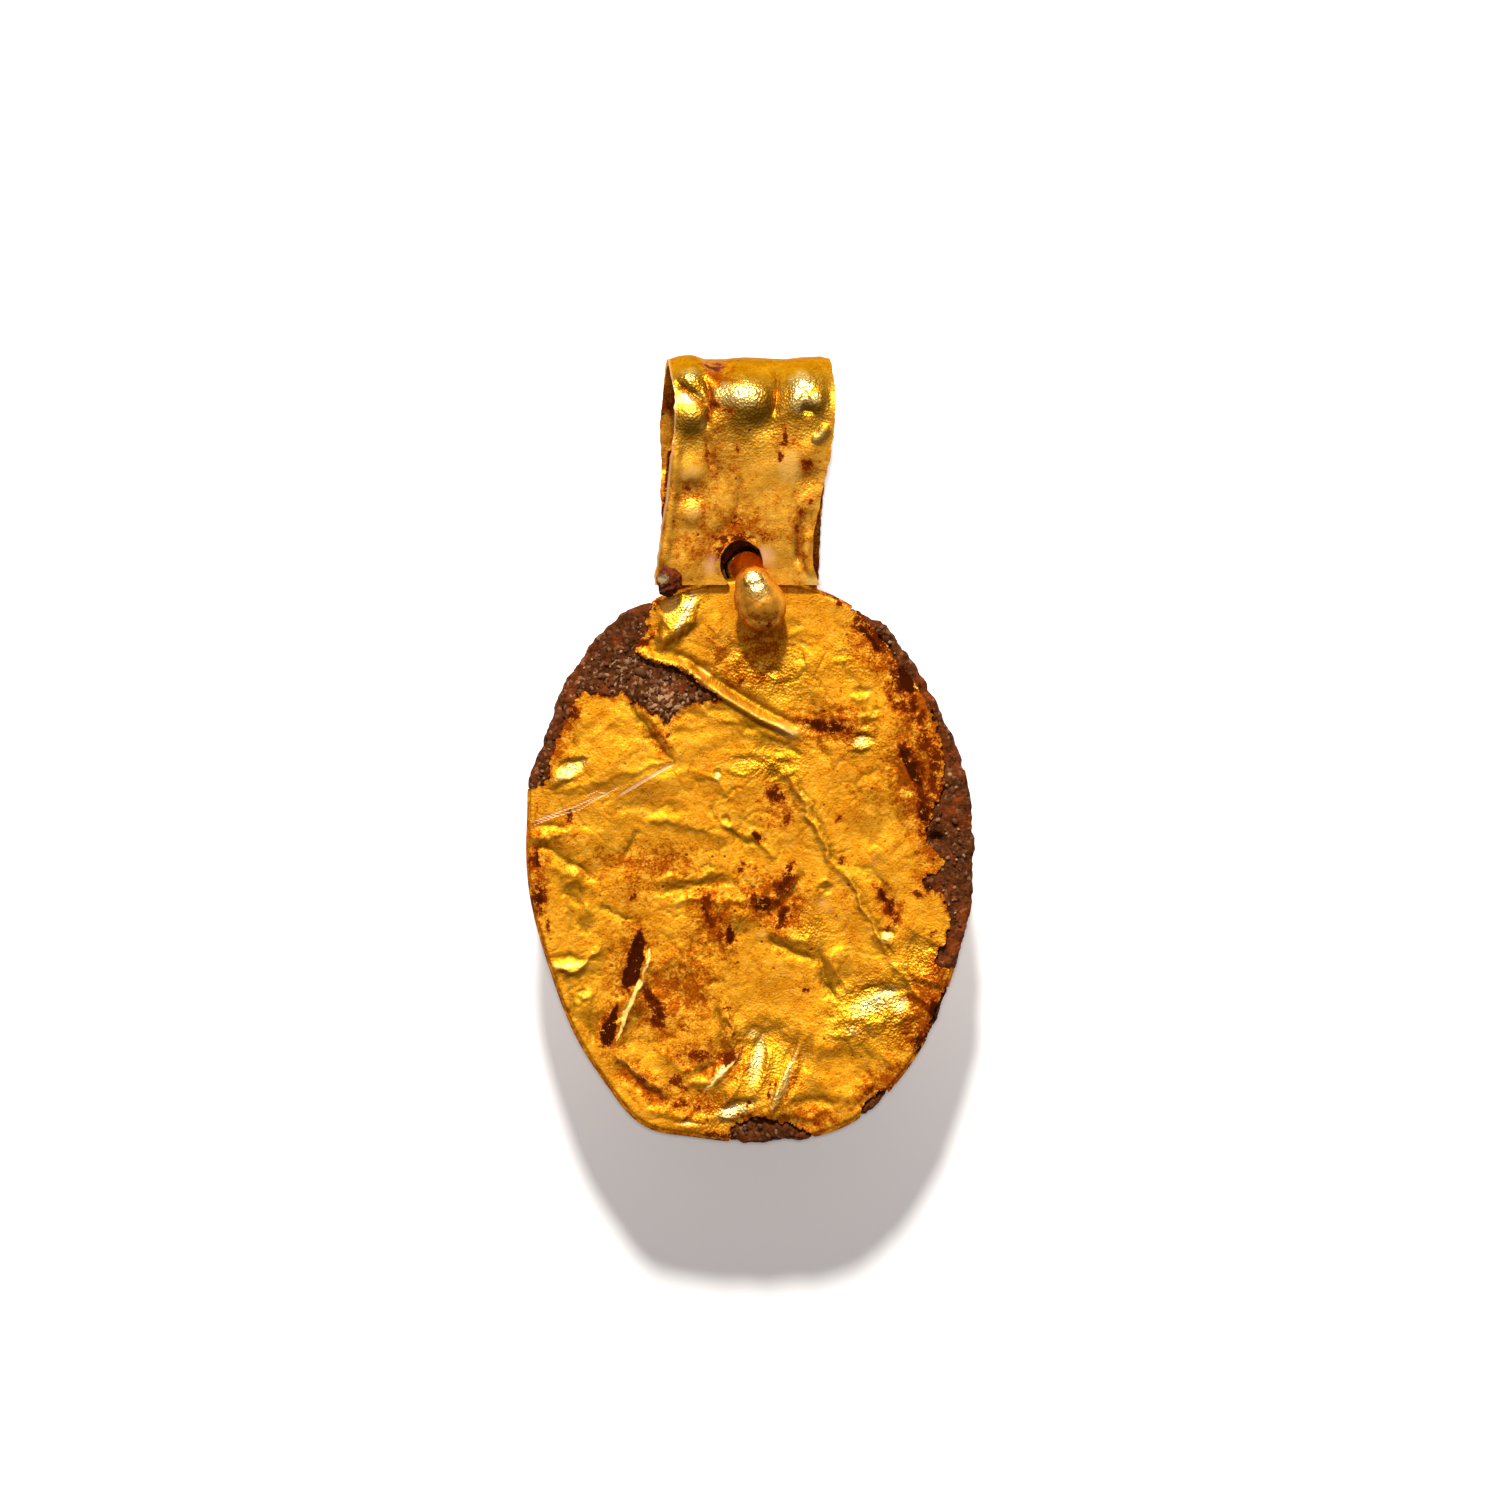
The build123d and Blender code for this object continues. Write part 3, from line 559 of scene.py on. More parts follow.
def finish_mesh(piece, angle=60):
    """Faces out, shaded smooth up to an angle between them."""
    edit_selected(piece, np.ones(len(piece.data.vertices), bool),
                  (bpy.ops.mesh.remove_doubles, {"threshold": 1e-7}),
                  (bpy.ops.mesh.normals_make_consistent, {"inside": False}))
    bpy.ops.object.shade_smooth_by_angle(angle=math.radians(angle))
    print(piece.name, "has", len(piece.data.polygons), "faces")


print("edges are drawn onto their outlines from", CUT_REACH, "pixels away")

# %% [markdown]
# From a grid to a foil
# The real foil was pressed round the core, and it crumpled and tore in the ground. A cloth
# simulation could crumple a sheet too, but its folds would fall anywhere, and these must lie where
# the photograph has them. So the grid is cut along the tears and pressed to the heights above.

# %% Front foil
FACE_SQUARES = 300
front_sheet = sheet_on_disc("front_leaf", FACE_SQUARES)
cut_away(front_sheet, foil_margin)
flat = places(front_sheet)
# The cut must not draw its edge out over the rim
keep_inside_rim(flat)
flat[:, 2] = face_height(*to_picture(*flat[:, :2].T))
move_to(front_sheet, flat)
print("front sheet has", len(flat), "vertices")

# %% [markdown]
# Paint masks
# Rust, stains, rubbed metal, painted shade and painted highlights lie where the photograph has
# them. They are stored on the vertices as named numbers, and the materials break their soft edges
# up with noise, so that a smooth spot becomes a ragged stain. An image could be painted instead,
# but named spots can be moved one by one. Columns: middle, half length, half width, clockwise turn,
# strength.

# %% Front foil: stains
FACE_STAINS = [
    (644, 641, 9, 6, -30, 0.8), (572, 711, 6, 12, 10, 0.9), (669, 733, 3, 6, 15, 0.7),
    (744, 655, 22, 7, 0, 0.35), (827, 725, 26, 7, 4, 0.85), (742, 683, 4, 4, 0, 1.0),
    (862, 624, 12, 6, 35, 0.9), (884, 641, 17, 9, 38, 1.0), (903, 678, 10, 18, -18, 1.0),
    (911, 706, 8, 9, 0, 0.9), (919, 719, 8, 7, 0, 0.8), (905, 752, 6, 10, -35, 1.0),
    (915, 768, 7, 15, -30, 1.0), (922, 800, 9, 20, 0, 0.8), (933, 785, 8, 20, 0, 0.6),
    (882, 762, 4, 9, -20, 0.5), (777, 794, 9, 7, 20, 0.9), (786, 815, 11, 10, 0, 0.5),
    (569, 815, 5, 9, -20, 0.8), (534, 856, 4, 9, 0, 0.9), (538, 897, 7, 17, 0, 0.95),
    (547, 925, 4, 8, 0, 0.7), (633, 897, 6, 5, 0, 0.7), (595, 875, 10, 6, 0, 0.4),
    (650, 864, 42, 9, 4, 0.4), (759, 836, 7, 6, 0, 0.7), (742, 868, 8, 7, 0, 0.6),
    (706, 902, 5, 9, -20, 0.7), (712, 920, 9, 7, 20, 0.8), (725, 936, 7, 10, -25, 0.7),
    (763, 903, 13, 7, 8, 1.1), (789, 877, 6, 15, 12, 0.9), (784, 916, 7, 16, 22, 0.9),
    (843, 862, 6, 5, 0, 0.7), (838, 820, 3, 5, 0, 0.6), (888, 903, 5, 15, -35, 0.9),
    (917, 893, 4, 3, 0, 0.8), (932, 935, 4, 4, 0, 0.7), (888, 958, 4, 3, 0, 0.6),
    (890, 926, 7, 5, -30, 0.8), (636, 955, 7, 22, 12, 0.7), (625, 988, 5, 9, 12, 0.7),
    (608, 1024, 6, 18, 12, 0.7), (606, 1048, 6, 8, 0, 0.6), (648, 998, 5, 10, -20, 0.7),
    (658, 1014, 9, 12, 0, 0.9), (668, 974, 12, 13, 0, 0.5), (686, 1026, 8, 11, 0, 0.5),
    (728, 1008, 4, 5, 0, 0.6), (700, 1055, 26, 9, 6, 0.7), (728, 1060, 7, 10, 0, 0.8),
    (678, 1082, 13, 7, 20, 0.7), (644, 1084, 24, 5, 38, 0.6), (690, 1105, 22, 4, 6, 0.7),
    (685, 1119, 10, 3, 0, 0.6), (708, 1120, 4, 8, 0, 0.7), (748, 1103, 3, 4, 0, 1.0),
    (773, 1088, 3, 18, 22, 0.6), (939, 1012, 8, 12, 10, 0.9), (931, 1003, 10, 9, 0, 0.7),
    (921, 1040, 8, 14, 20, 0.9), (936, 974, 7, 6, 0, 0.6), (957, 985, 5, 14, 0, 0.5),
    (876, 1094, 18, 8, -25, 0.7), (820, 1122, 30, 6, -12, 0.4), (715, 1135, 14, 5, 8, 0.8),
    (745, 1118, 18, 5, 0, 0.5), (655, 607, 4, 8, 10, 0.6), (900, 660, 9, 9, 0, 0.7),
    (720, 640, 3, 14, 8, 0.4), (600, 735, 4, 4, 0, 0.3), (775, 700, 7, 6, 0, 0.3),
    (806, 905, 5, 12, 0, 0.3), (600, 930, 3, 3, 0, 0.4), (830, 1000, 3, 2, 0, 0.5),
    (806, 992, 2.5, 2.5, 0, 0.9), (752, 866, 4, 4, 0, 0.7), (700, 1009, 4, 4, 0, 0.4),
    (947, 700, 5, 20, -12, 0.7), (836, 600, 14, 4, 33, 0.8), (926, 672, 6, 14, -25, 0.7),
    (902, 678, 12, 18, -18, 1.1), (898, 700, 8, 10, 0, 0.7), (925, 742, 8, 16, -15, 0.8),
    (928, 815, 9, 20, 0, 0.9), (936, 770, 8, 30, 0, 0.8), (638, 945, 6, 14, 15, 0.7),
    (630, 972, 6, 12, 15, 0.7), (770, 912, 5, 5, 0, 0.8), (775, 885, 5, 8, 0, 0.6),
    (806, 722, 5, 5, 0, 0.9), (848, 728, 6, 4, 0, 0.9), (655, 970, 8, 7, 0, 0.5),
]

# The darkest stains have crisp edges, so they are outlines, each with its strength
STAIN_SHAPES = [
    (1.0, [(641, 928), (646, 943), (645, 961), (639, 981), (625, 991), (621, 981), (626, 961),
           (632, 941)]),
    (1.0, [(617, 1003), (619, 1016), (615, 1036), (610, 1046), (600, 1043), (602, 1026),
           (612, 1011)]),
    (0.58, [(641, 988), (652, 985), (657, 998), (667, 1010), (666, 1026), (656, 1028),
            (648, 1012)]),
    (0.75, [(728, 925), (735, 929), (734, 942), (727, 945), (722, 938)]),
    (0.6, [(700, 899), (707, 904), (712, 920), (705, 920), (699, 908)]),
    (0.85, [(756, 898), (770, 896), (773, 905), (764, 912), (753, 909)]),
    (0.62, [(784, 863), (794, 864), (793, 880), (785, 893), (776, 898), (772, 892), (781, 880)]),
    (0.62, [(788, 903), (790, 912), (782, 925), (774, 931), (774, 918), (782, 908)]),
    (0.66, [(767, 792), (774, 788), (782, 795), (779, 803), (770, 801)]),
    (0.66, [(750, 833), (758, 831), (765, 836), (762, 841), (753, 840)]),
    (0.75, [(877, 886), (883, 889), (891, 902), (895, 916), (889, 913), (881, 899)]),
    (0.85, [(897, 746), (906, 751), (915, 765), (923, 779), (921, 790), (910, 777), (900, 760)]),
    (0.85, [(895, 668), (907, 664), (914, 680), (921, 691), (911, 696), (900, 685)]),
    (0.75, [(855, 627), (862, 624), (880, 644), (887, 656), (876, 651), (865, 639)]),
    (0.7, [(803, 722), (815, 719), (830, 721), (845, 724), (850, 730), (835, 734), (815, 731)]),
    (0.75, [(920, 800), (931, 806), (930, 822), (922, 824), (917, 812)]),
    (0.7, [(534, 845), (540, 850), (541, 866), (535, 868)]),
    (0.7, [(535, 885), (543, 888), (544, 905), (536, 908)]),
    (0.75, [(930, 1000), (944, 1004), (946, 1022), (936, 1026), (928, 1014)]),
    (0.75, [(914, 1034), (926, 1036), (922, 1052), (912, 1054)]),
]
print(len(FACE_STAINS), "soft stains and", len(STAIN_SHAPES), "crisp ones")

# %% [markdown]
# Iron from the core turns the foil orange round the dark stains, and olive painted shade, with some
# dirt, darkens hollows and the foot of folds. Both are wide and weak, so they get masks of their
# own.

# %% Front foil: rust and dirt
# Warm orange staining round and between the dark stains; the row at 762, 642 is painted shadow,
# where the pin's shadow falls
FACE_RUST = [
    (630, 640, 20, 10, -28, 0.9), (762, 642, 22, 16, 0, 0.6), (560, 730, 12, 34, 18, 0.7),
    (720, 650, 12, 20, 0, 0.5), (750, 672, 30, 14, 0, 0.5), (830, 726, 36, 16, 0, 0.8),
    (885, 650, 34, 20, 40, 0.8), (913, 700, 18, 40, -15, 0.9), (918, 780, 20, 46, -12, 1.0),
    (935, 830, 14, 40, 0, 0.8), (925, 880, 10, 14, 0, 0.6), (780, 805, 16, 18, 10, 0.6),
    (650, 862, 50, 16, 0, 0.5), (640, 880, 30, 24, 0, 0.4), (715, 920, 20, 32, -15, 0.7),
    (770, 900, 34, 22, 0, 0.7), (786, 910, 16, 26, 15, 0.7), (536, 885, 9, 50, 0, 0.7),
    (630, 970, 20, 40, 10, 0.6), (660, 1000, 30, 34, 0, 0.7), (690, 985, 22, 40, 0, 0.6),
    (612, 1030, 14, 26, 10, 0.6), (715, 1060, 34, 16, 8, 0.7), (645, 1085, 34, 10, 38, 0.7),
    (700, 1105, 40, 12, 5, 0.6), (930, 1010, 22, 40, 12, 0.9), (890, 1085, 34, 18, -30, 0.7),
    (800, 1118, 40, 12, 0, 0.6), (700, 940, 14, 16, 0, 0.4), (840, 760, 10, 10, 0, 0.4),
    (890, 905, 10, 22, -30, 0.6), (870, 790, 20, 26, 0, 0.3), (560, 830, 20, 20, 0, 0.3),
    (845, 900, 10, 14, 0, 0.3), (660, 740, 8, 22, -30, 0.6), (790, 1085, 8, 26, 20, 0.5),
    (727, 1040, 6, 20, 0, 0.5),
]

# Painted shade: dark olive in hollows, on slopes that lean away from the lamp and under the tear's
# lip
FACE_PAINTED_SHADE = [
    (766, 742, 30, 8, 22, 1.0), (576, 888, 12, 12, 0, 0.6), (585, 920, 7, 11, 0, 0.7),
    (588, 1010, 8, 22, -10, 0.6), (675, 888, 18, 7, -6, 0.7), (712, 881, 20, 6, 0, 0.8),
    (572, 975, 26, 4, -8, 0.8), (602, 958, 4, 14, 35, 0.7), (790, 952, 28, 4, 22, 0.9),
    (828, 980, 5, 26, -25, 0.9), (826, 885, 6, 6, 0, 0.6), (866, 719, 6, 6, 0, 0.8),
    (773, 770, 6, 6, 0, 0.7), (640, 815, 36, 12, 0, 0.3), (610, 860, 44, 20, 0, 0.3),
    (650, 1030, 26, 20, 0, 0.3), (740, 925, 18, 12, 0, 0.5), (700, 830, 24, 10, 0, 0.4),
    (860, 752, 12, 4, -10, 0.8), (700, 712, 20, 8, 0, 0.4), (860, 1060, 12, 20, 0, 0.3),
    (580, 1060, 12, 30, -30, 0.3), (755, 850, 14, 5, 15, 0.6), (742, 700, 40, 14, 20, 0.3),
]
print(len(FACE_RUST), "rusty and", len(FACE_PAINTED_SHADE), "dirty places on the front foil")

# %% [markdown]
# Wear rubs crests and thin edges, makes flat places matt, and leaves scratches; the bright crests
# and creamy edges are painted highlights as well as wear. Lines are given as lines, since a row of
# spots would look like beads.

# %% Front foil: worn places
# Coarse, glittering grain
FACE_COARSE = [
    (680, 612, 24, 12, -62, 0.7), (765, 670, 34, 22, 20, 0.7), (870, 1010, 34, 24, -30, 0.8),
    (890, 1015, 20, 26, 0, 0.7), (765, 1065, 34, 36, 0, 0.5), (770, 765, 30, 12, 0, 0.6),
    (730, 1112, 30, 12, -20, 0.6), (925, 960, 26, 22, 0, 0.6), (570, 770, 22, 9, -34, 0.4),
    (810, 932, 16, 14, 0, 0.5), (860, 740, 16, 12, 0, 0.5), (850, 660, 20, 16, 0, 0.3),
]

# Painted highlights with rubbed metal: pale colour on crests and small facets that catch the light
FACE_RUBBED_AND_HIGHLIGHTS = [
    (570, 770, 19, 7, -34, 0.7), (686, 612, 20, 5, -64, 0.9), (672, 605, 20, 10, -60, 0.5),
    (887, 937, 8, 6, -30, 0.6), (874, 1002, 24, 9, -28, 0.8), (899, 1004, 10, 8, 30, 0.7),
    (853, 1031, 12, 6, 10, 0.5), (736, 1110, 17, 6, -22, 1.0), (722, 1072, 20, 3, -48, 1.0),
    (757, 1060, 24, 5, 103, 0.9), (787, 1076, 28, 3, 110, 0.8), (862, 743, 10, 6, -20, 0.6),
    (784, 730, 14, 5, 22, 0.7), (570, 966, 24, 4, 0, 0.6), (705, 672, 9, 5, 25, 0.5),
    (583, 995, 4, 3, 0, 0.5), (727, 822, 5, 4, 0, 0.4), (753, 1034, 6, 4, 0, 0.8),
    (717, 776, 3, 5, 0, 0.8), (690, 1124, 12, 3, 8, 0.6), (776, 1098, 4, 14, 22, 0.6),
]
# Painted highlights on worn crests, creamy: strength, half width in pixels and the line
CREST_HIGHLIGHT_LINES = [
    (0.9, 1.3, [(651, 946), (648, 962), (642, 978)]),
    (1.3, 2.3, [(642, 977), (637, 988), (632, 1001), (625, 1014), (621, 1030)]),
    (0.9, 1.3, [(622, 1026), (619, 1036), (616, 1044)]),
    (0.9, 1.6, [(735, 1057), (729, 1068), (716, 1079), (706, 1091)]),
    (0.5, 1.2, [(612, 1054), (625, 1065), (640, 1076), (655, 1087)]),
    (0.6, 2.0, [(774, 722), (784, 729), (797, 735)]),
]
LIP_CREST = [(636, 652), (655, 662), (675, 667), (700, 683), (740, 708), (780, 729), (797, 736)]

# Pale, matt patches
FACE_MATT = [
    (762, 934, 9, 4, 0, 0.6), (843, 882, 16, 3, 50, 0.5), (786, 730, 14, 6, 22, 0.9),
    (824, 905, 14, 14, 0, 0.5), (875, 860, 20, 36, 0, 0.4), (760, 960, 30, 20, 0, 0.3),
    (830, 890, 10, 22, 0, 0.4), (690, 700, 16, 5, 30, 0.5), (800, 850, 8, 30, 0, 0.3),
]

# Scratches through the gold: width in pixels and the line
SCRATCHES = [
    (1.6, [(614, 798), (640, 783), (665, 768), (679, 762)]),
    (0.9, [(527, 824), (550, 815), (575, 806), (602, 794)]),
    (0.8, [(527, 828), (552, 817), (580, 809), (608, 791)]),
    (0.7, [(584, 797), (596, 791), (606, 793), (611, 800)]),
    (0.7, [(590, 802), (602, 796), (622, 785)]),
]
print(len(FACE_RUBBED_AND_HIGHLIGHTS), "rubbed places and", len(SCRATCHES), "scratches on the front foil")

# %% [markdown]
# The masks are put onto the vertices. How far a vertex stands above its neighbours tells crests,
# which get wear and a painted highlight, from hollows, which get painted shade and dirt, also where
# no table names them. A bake of the curvature could tell that too, but it would need an image.


# %% Front foil: painted masks
def paint(piece, name, values):
    """Stores a mask on the piece's vertices for its material to read."""
    mask = piece.data.attributes.new(name, "FLOAT", "POINT")
    mask.data.foreach_set("value", np.ascontiguousarray(values, np.float32))


def stands_out(piece, values, rounds):
    """How far each vertex's value lies over the average of the vertices around it."""
    ends = np.empty(len(piece.data.edges) * 2, int)
    piece.data.edges.foreach_get("vertices", ends)
    first, second = ends.reshape(-1, 2).T
    count = len(values)
    uses = np.bincount(first, minlength=count) + np.bincount(second, minlength=count)
    level = values
    for _ in range(rounds):
        total = np.bincount(first, weights=level[second], minlength=count)
        total += np.bincount(second, weights=level[first], minlength=count)
        level = total / np.maximum(uses, 1)
    return values - level


flat = places(front_sheet)
px, py = to_picture(flat[:, 0], flat[:, 1])
share = rim_share(px, py)[0]
from_edge = np.clip(foil_margin(px, py), 0, 99)
from_rim = (1 - share) * DISC_HALF[0]
# Crests get pale rubbed colour, part wear and part painted highlight; hollows get painted shade and
# dirt
fine_shape = stands_out(front_sheet, flat[:, 2], 10) / (0.016 * MM)
wide_shape = stands_out(front_sheet, flat[:, 2], 60) / (0.050 * MM)
shape = np.where(share < 0.97, fine_shape + 0.6 * wide_shape, 0)
near = 2.5 * wander(px, py, 9, 31) + 1.2 * wander(px, py, 4, 33)
aside = 2.5 * wander(px, py, 9, 32) + 1.2 * wander(px, py, 4, 34)
edge_rust = 0.9 * np.exp(-from_edge / 4)
rim_rust = 0.9 * np.exp(-from_rim / 4)
stained = strongest(px + near, py + aside, FACE_STAINS)
for strength, outline in STAIN_SHAPES:
    depth = depth_inside(px + near / 2, py + aside / 2, outline)
    stained = np.maximum(stained, strength * np.clip(0.75 + 0.4 * depth, 0, 1.7))
stained = np.maximum(stained, 0.62 * np.exp(-from_edge / 3.5))
paint(front_sheet, "stain", np.maximum(stained, 0.6 * np.exp(-from_rim / 2.5)))
paint(front_sheet, "rust", np.maximum(1.35 * strongest(px + near, py + aside, FACE_RUST),
                                      np.maximum(edge_rust, rim_rust)))
shade_and_dirt = strongest(px + near, py + aside, FACE_PAINTED_SHADE)
# Painted shade: a dark line along the foot of each crease
for rise, left, right, line in FACE_FOLDS:
    if rise < 0:
        seam_shade = min(1.2, -rise / 0.11) * ridge(px + near, py + aside, line, 2.6, 2.6)
        shade_and_dirt = np.maximum(shade_and_dirt, seam_shade)
shade_and_dirt = np.maximum(shade_and_dirt, np.clip(-0.5 * shape - 0.1, 0, 1.0))
paint(front_sheet, "dirt_and_shade", shade_and_dirt * (1 - 0.6 * np.exp(-(spot(px, py, *PLEATS)[0] ** 4))))
paint(front_sheet, "coarse", strongest(px + near, py + aside, FACE_COARSE))
rubbed_and_highlight = strongest(px + near / 2, py + aside / 2, FACE_RUBBED_AND_HIGHLIGHTS)
paint(front_sheet, "rubbed_and_highlight", np.maximum(rubbed_and_highlight, np.clip(0.17 * shape - 0.1, 0, 0.4)))
crest_highlight = np.zeros(len(px))
for strength, width, line in CREST_HIGHLIGHT_LINES:
    crest = ridge(px + near / 2, py + aside / 2, line, width, width)
    crest_highlight = np.maximum(crest_highlight, strength * crest)
paint(front_sheet, "worn_crest_highlight", crest_highlight)
matted = np.maximum(0.8 * ridge(px, py, LIP_CREST, 4, 3), strongest(px, py, FACE_MATT))
paint(front_sheet, "matt", matted)
scratched = np.zeros(len(px))
for width, line in SCRATCHES:
    scratched = np.maximum(scratched, ridge(px, py, line, width, width))
paint(front_sheet, "scratch", scratched)
print("painted eight masks on the front foil")

# %% [markdown]
# Thickness of the foil
# Solidify gives the sheet the thickness of the gold. Extruding it would do the same, but straight
# down, so that steep folds would come out thin. The underside lies hidden on the core, and only it
# is thinned out, which leaves the triangles to the folds that are seen.

# %% Front foil: thickness
SHEET_TRIANGLES = 192_000  # the most that one piece of the part should have


def count_triangles(piece):
    return sum(len(face.vertices) - 2 for face in piece.data.polygons)


upper_side = len(front_sheet.data.vertices)
apply_modifier(front_sheet, "SOLIDIFY", thickness=FOIL_WALL, offset=-1)
underside = front_sheet.vertex_groups.new(name="underside")
underside.add(list(range(upper_side, len(front_sheet.data.vertices))), 1.0, "REPLACE")
keep = SHEET_TRIANGLES / count_triangles(front_sheet)
apply_modifier(front_sheet, "DECIMATE", ratio=keep, vertex_group="underside")
front_sheet.vertex_groups.clear()
# Solidify leaves a small spike where the torn edge meets the rim
points = places(front_sheet)
keep_inside_rim(points)
move_to(front_sheet, points)
finish_mesh(front_sheet)
print("front foil:", count_triangles(front_sheet), "triangles")

# %% [markdown]
# The core
# The core is corroded earth and metal. It starts as a ball that is pressed into a lens with a flat
# back, and the ear for the pin is a block with a hole. Remesh fuses them into one skin of small
# squares, fine enough for grain that is pushed in and out along the skin's own direction.

# %% Core
CORE_BELOW = 0.26  # mm from the face's base down to the core's top under the foil
CORE_INSET = 0.985  # share of the rim that the core reaches under the foil
CORE_BOTTOM = 0.27 * MM
BELLY_TOP = 4.84 * MM
# Belly from its rim to its flat bottom: share of the radius, share of the depth
BELLY_ROWS = [(1.0, 0.0), (0.965, 0.26), (0.88, 0.54), (0.74, 0.78), (0.56, 0.94), (0.34, 1.0)]
BELLY_SHARE = 0.96  # the belly's rim, inside the medallion's rim
EAR_LOW = 2.85 * MM
EAR_HIGH = 6.12 * MM
EAR_HALF = 2.12 * MM
EAR_END = 9.86 * MM
EAR_ROOT = 5.2 * MM
PIN_PLACE = (-0.13 * MM, 8.04 * MM)
PIN_HOLE = 0.97 * MM
CORE_SQUARE = 0.125 * MM  # Remesh square
TOP_SPREAD = 1.35  # how much wider than the ball's own the flat top is drawn
EAR_BEVEL = 0.45 * MM
EAR_SUNK_TO = 7.7 * MM  # inside the medallion, up to this y, the ear keeps below a level
EAR_SUNK_LEVEL = 5.6 * MM


def belly_depth(share):
    """Share of the belly's depth at a share of its radius, worked out between the rows."""
    rows = sorted(BELLY_ROWS)
    return np.interp(share, [row[0] for row in rows], [row[1] for row in rows])


deselect()
bpy.ops.mesh.primitive_uv_sphere_add(segments=180, ring_count=90, radius=1)
core = just_made("earth_core")
ball = places(core)
angle = np.arctan2(ball[:, 1], ball[:, 0])
lift = np.clip(ball[:, 2], -1, 1)
# The ball's upper half is the core's flat top and shoulder, its lower half the belly
spread = np.sqrt(1 - lift**2)
top_share = np.clip(spread * TOP_SPREAD, 0, 1) * CORE_INSET
low_share = np.clip(spread, 0, 1)
share = np.where(lift > 0, top_share, low_share * BELLY_SHARE)
px, py = on_disc(angle, share)
ball[:, 0], ball[:, 1] = to_metres(px, py)
top_height = FACE_MEAN + (face_base(px, py) - CORE_BELOW) * MM
side_start = math.sqrt(1 - 1 / TOP_SPREAD**2)
side_part = np.clip(lift / side_start, 0, 1)
upper = np.where(lift > side_start, top_height, BELLY_TOP + (top_height - BELLY_TOP) * side_part)
lower = BELLY_TOP - belly_depth(low_share) * (BELLY_TOP - CORE_BOTTOM)
ball[:, 2] = np.where(lift > 0, upper, lower)
move_to(core, ball)

deselect()
ear_middle = (PIN_PLACE[0], (EAR_ROOT + EAR_END) / 2, (EAR_LOW + EAR_HIGH) / 2)
ear_size = (2 * EAR_HALF, EAR_END - EAR_ROOT, EAR_HIGH - EAR_LOW)
bpy.ops.mesh.primitive_cube_add(size=1, location=ear_middle, scale=ear_size)
ear = bpy.context.object
bpy.ops.object.transform_apply(location=True, rotation=True, scale=True)
apply_modifier(ear, "BEVEL", width=EAR_BEVEL, segments=4)
# Inside the medallion the ear stays under the core's top
ear_points = places(ear)
sunk = ear_points[:, 1] < EAR_SUNK_TO
ear_points[sunk, 2] = np.minimum(ear_points[sunk, 2], EAR_SUNK_LEVEL)
move_to(ear, ear_points)
deselect()
bpy.ops.mesh.primitive_cylinder_add(vertices=48, radius=PIN_HOLE, depth=12 * MM,
                                    location=(*PIN_PLACE, EAR_HIGH))
hole_cutter = bpy.context.object
join(core, [ear])
apply_modifier(core, "REMESH", mode="VOXEL", voxel_size=CORE_SQUARE)
apply_modifier(core, "BOOLEAN", operation="DIFFERENCE", object=hole_cutter, solver="EXACT")
bpy.data.objects.remove(hole_cutter)
print("core of", len(core.data.vertices), "vertices before its grain")

# %% [markdown]
# The grain of the core
# Corroded earth is lumpy in every size, down to sand. A Displace modifier could push the skin out,
# but this crust must also stay low under the foil and stand free where the foil is gone. So noise
# in three sizes is added along the skin's own direction, with less of it under the foil.


# %% Grain of the core
CRUST_STANDS = 0.16  # mm that the bare crust stands over the covered core
CRUST_SWELLS = 0.12 * MM  # how far it fills out to the rim
TOP_START = 5.2 * MM  # where the core's side ends and its top begins
TOP_BLEND = 0.3 * MM
RIM_PIT = (937, 840, 8, 7, 0)
RIM_PIT_DEPTH = 0.45 * MM


def grained(piece, seed, *grains):
    """Noise along a piece's normals. Each grain is a size and a rise in metres."""
    points = places(piece)
    push = np.zeros(len(points))
    for size, rise in grains:
        push += rise * np.array([noise.noise(Vector(p) / size + Vector((seed, 0, 0))) * 2
                                 for p in points])
    return points, places(piece, "normal"), push


points, normals, push = grained(core, 5, (0.9 * MM, 0.06 * MM), (0.40 * MM, 0.06 * MM),
                                (0.20 * MM, 0.025 * MM))
px, py = to_picture(points[:, 0], points[:, 1])
bare = np.clip(0.6 - foil_margin(px, py) / 6, 0, 1)
share = rim_share(px, py)[0]
is_top = np.clip((points[:, 2] - TOP_START) / TOP_BLEND, 0, 1)
covered = (1 - bare) * is_top * (share < 1.02)
push = np.where(covered > 0.5, np.minimum(push, 0) * 0.5, push)
points = points + normals * push[:, None]
# Crust stands up to the foil's level and fills out to the rim where the foil has worn off
points[:, 2] += bare * is_top * (share < 1.02) * CRUST_STANDS * MM
swell = bare * is_top * (share > 0.93) * (share < 1.02) * CRUST_SWELLS
outward = points[:, :2] - DISC_CENTRE
length = np.maximum(np.hypot(*outward.T), 1e-6)
pit = np.exp(-(spot(px, py, *RIM_PIT)[0] ** 4)) * is_top
points[:, 2] -= pit * RIM_PIT_DEPTH
points[:, :2] += outward / length[:, None] * swell[:, None]
# No grain stands out past the rim; the ear above it may
px, py = to_picture(points[:, 0], points[:, 1])
share = rim_share(px, py)[0]
keep = np.where((share < 1.08) & (py > 640), 1 / np.maximum(share / 1.002, 1), 1)
points[:, :2] = DISC_CENTRE + (points[:, :2] - DISC_CENTRE) * keep[:, None]
move_to(core, points)
finish_mesh(core, 80)
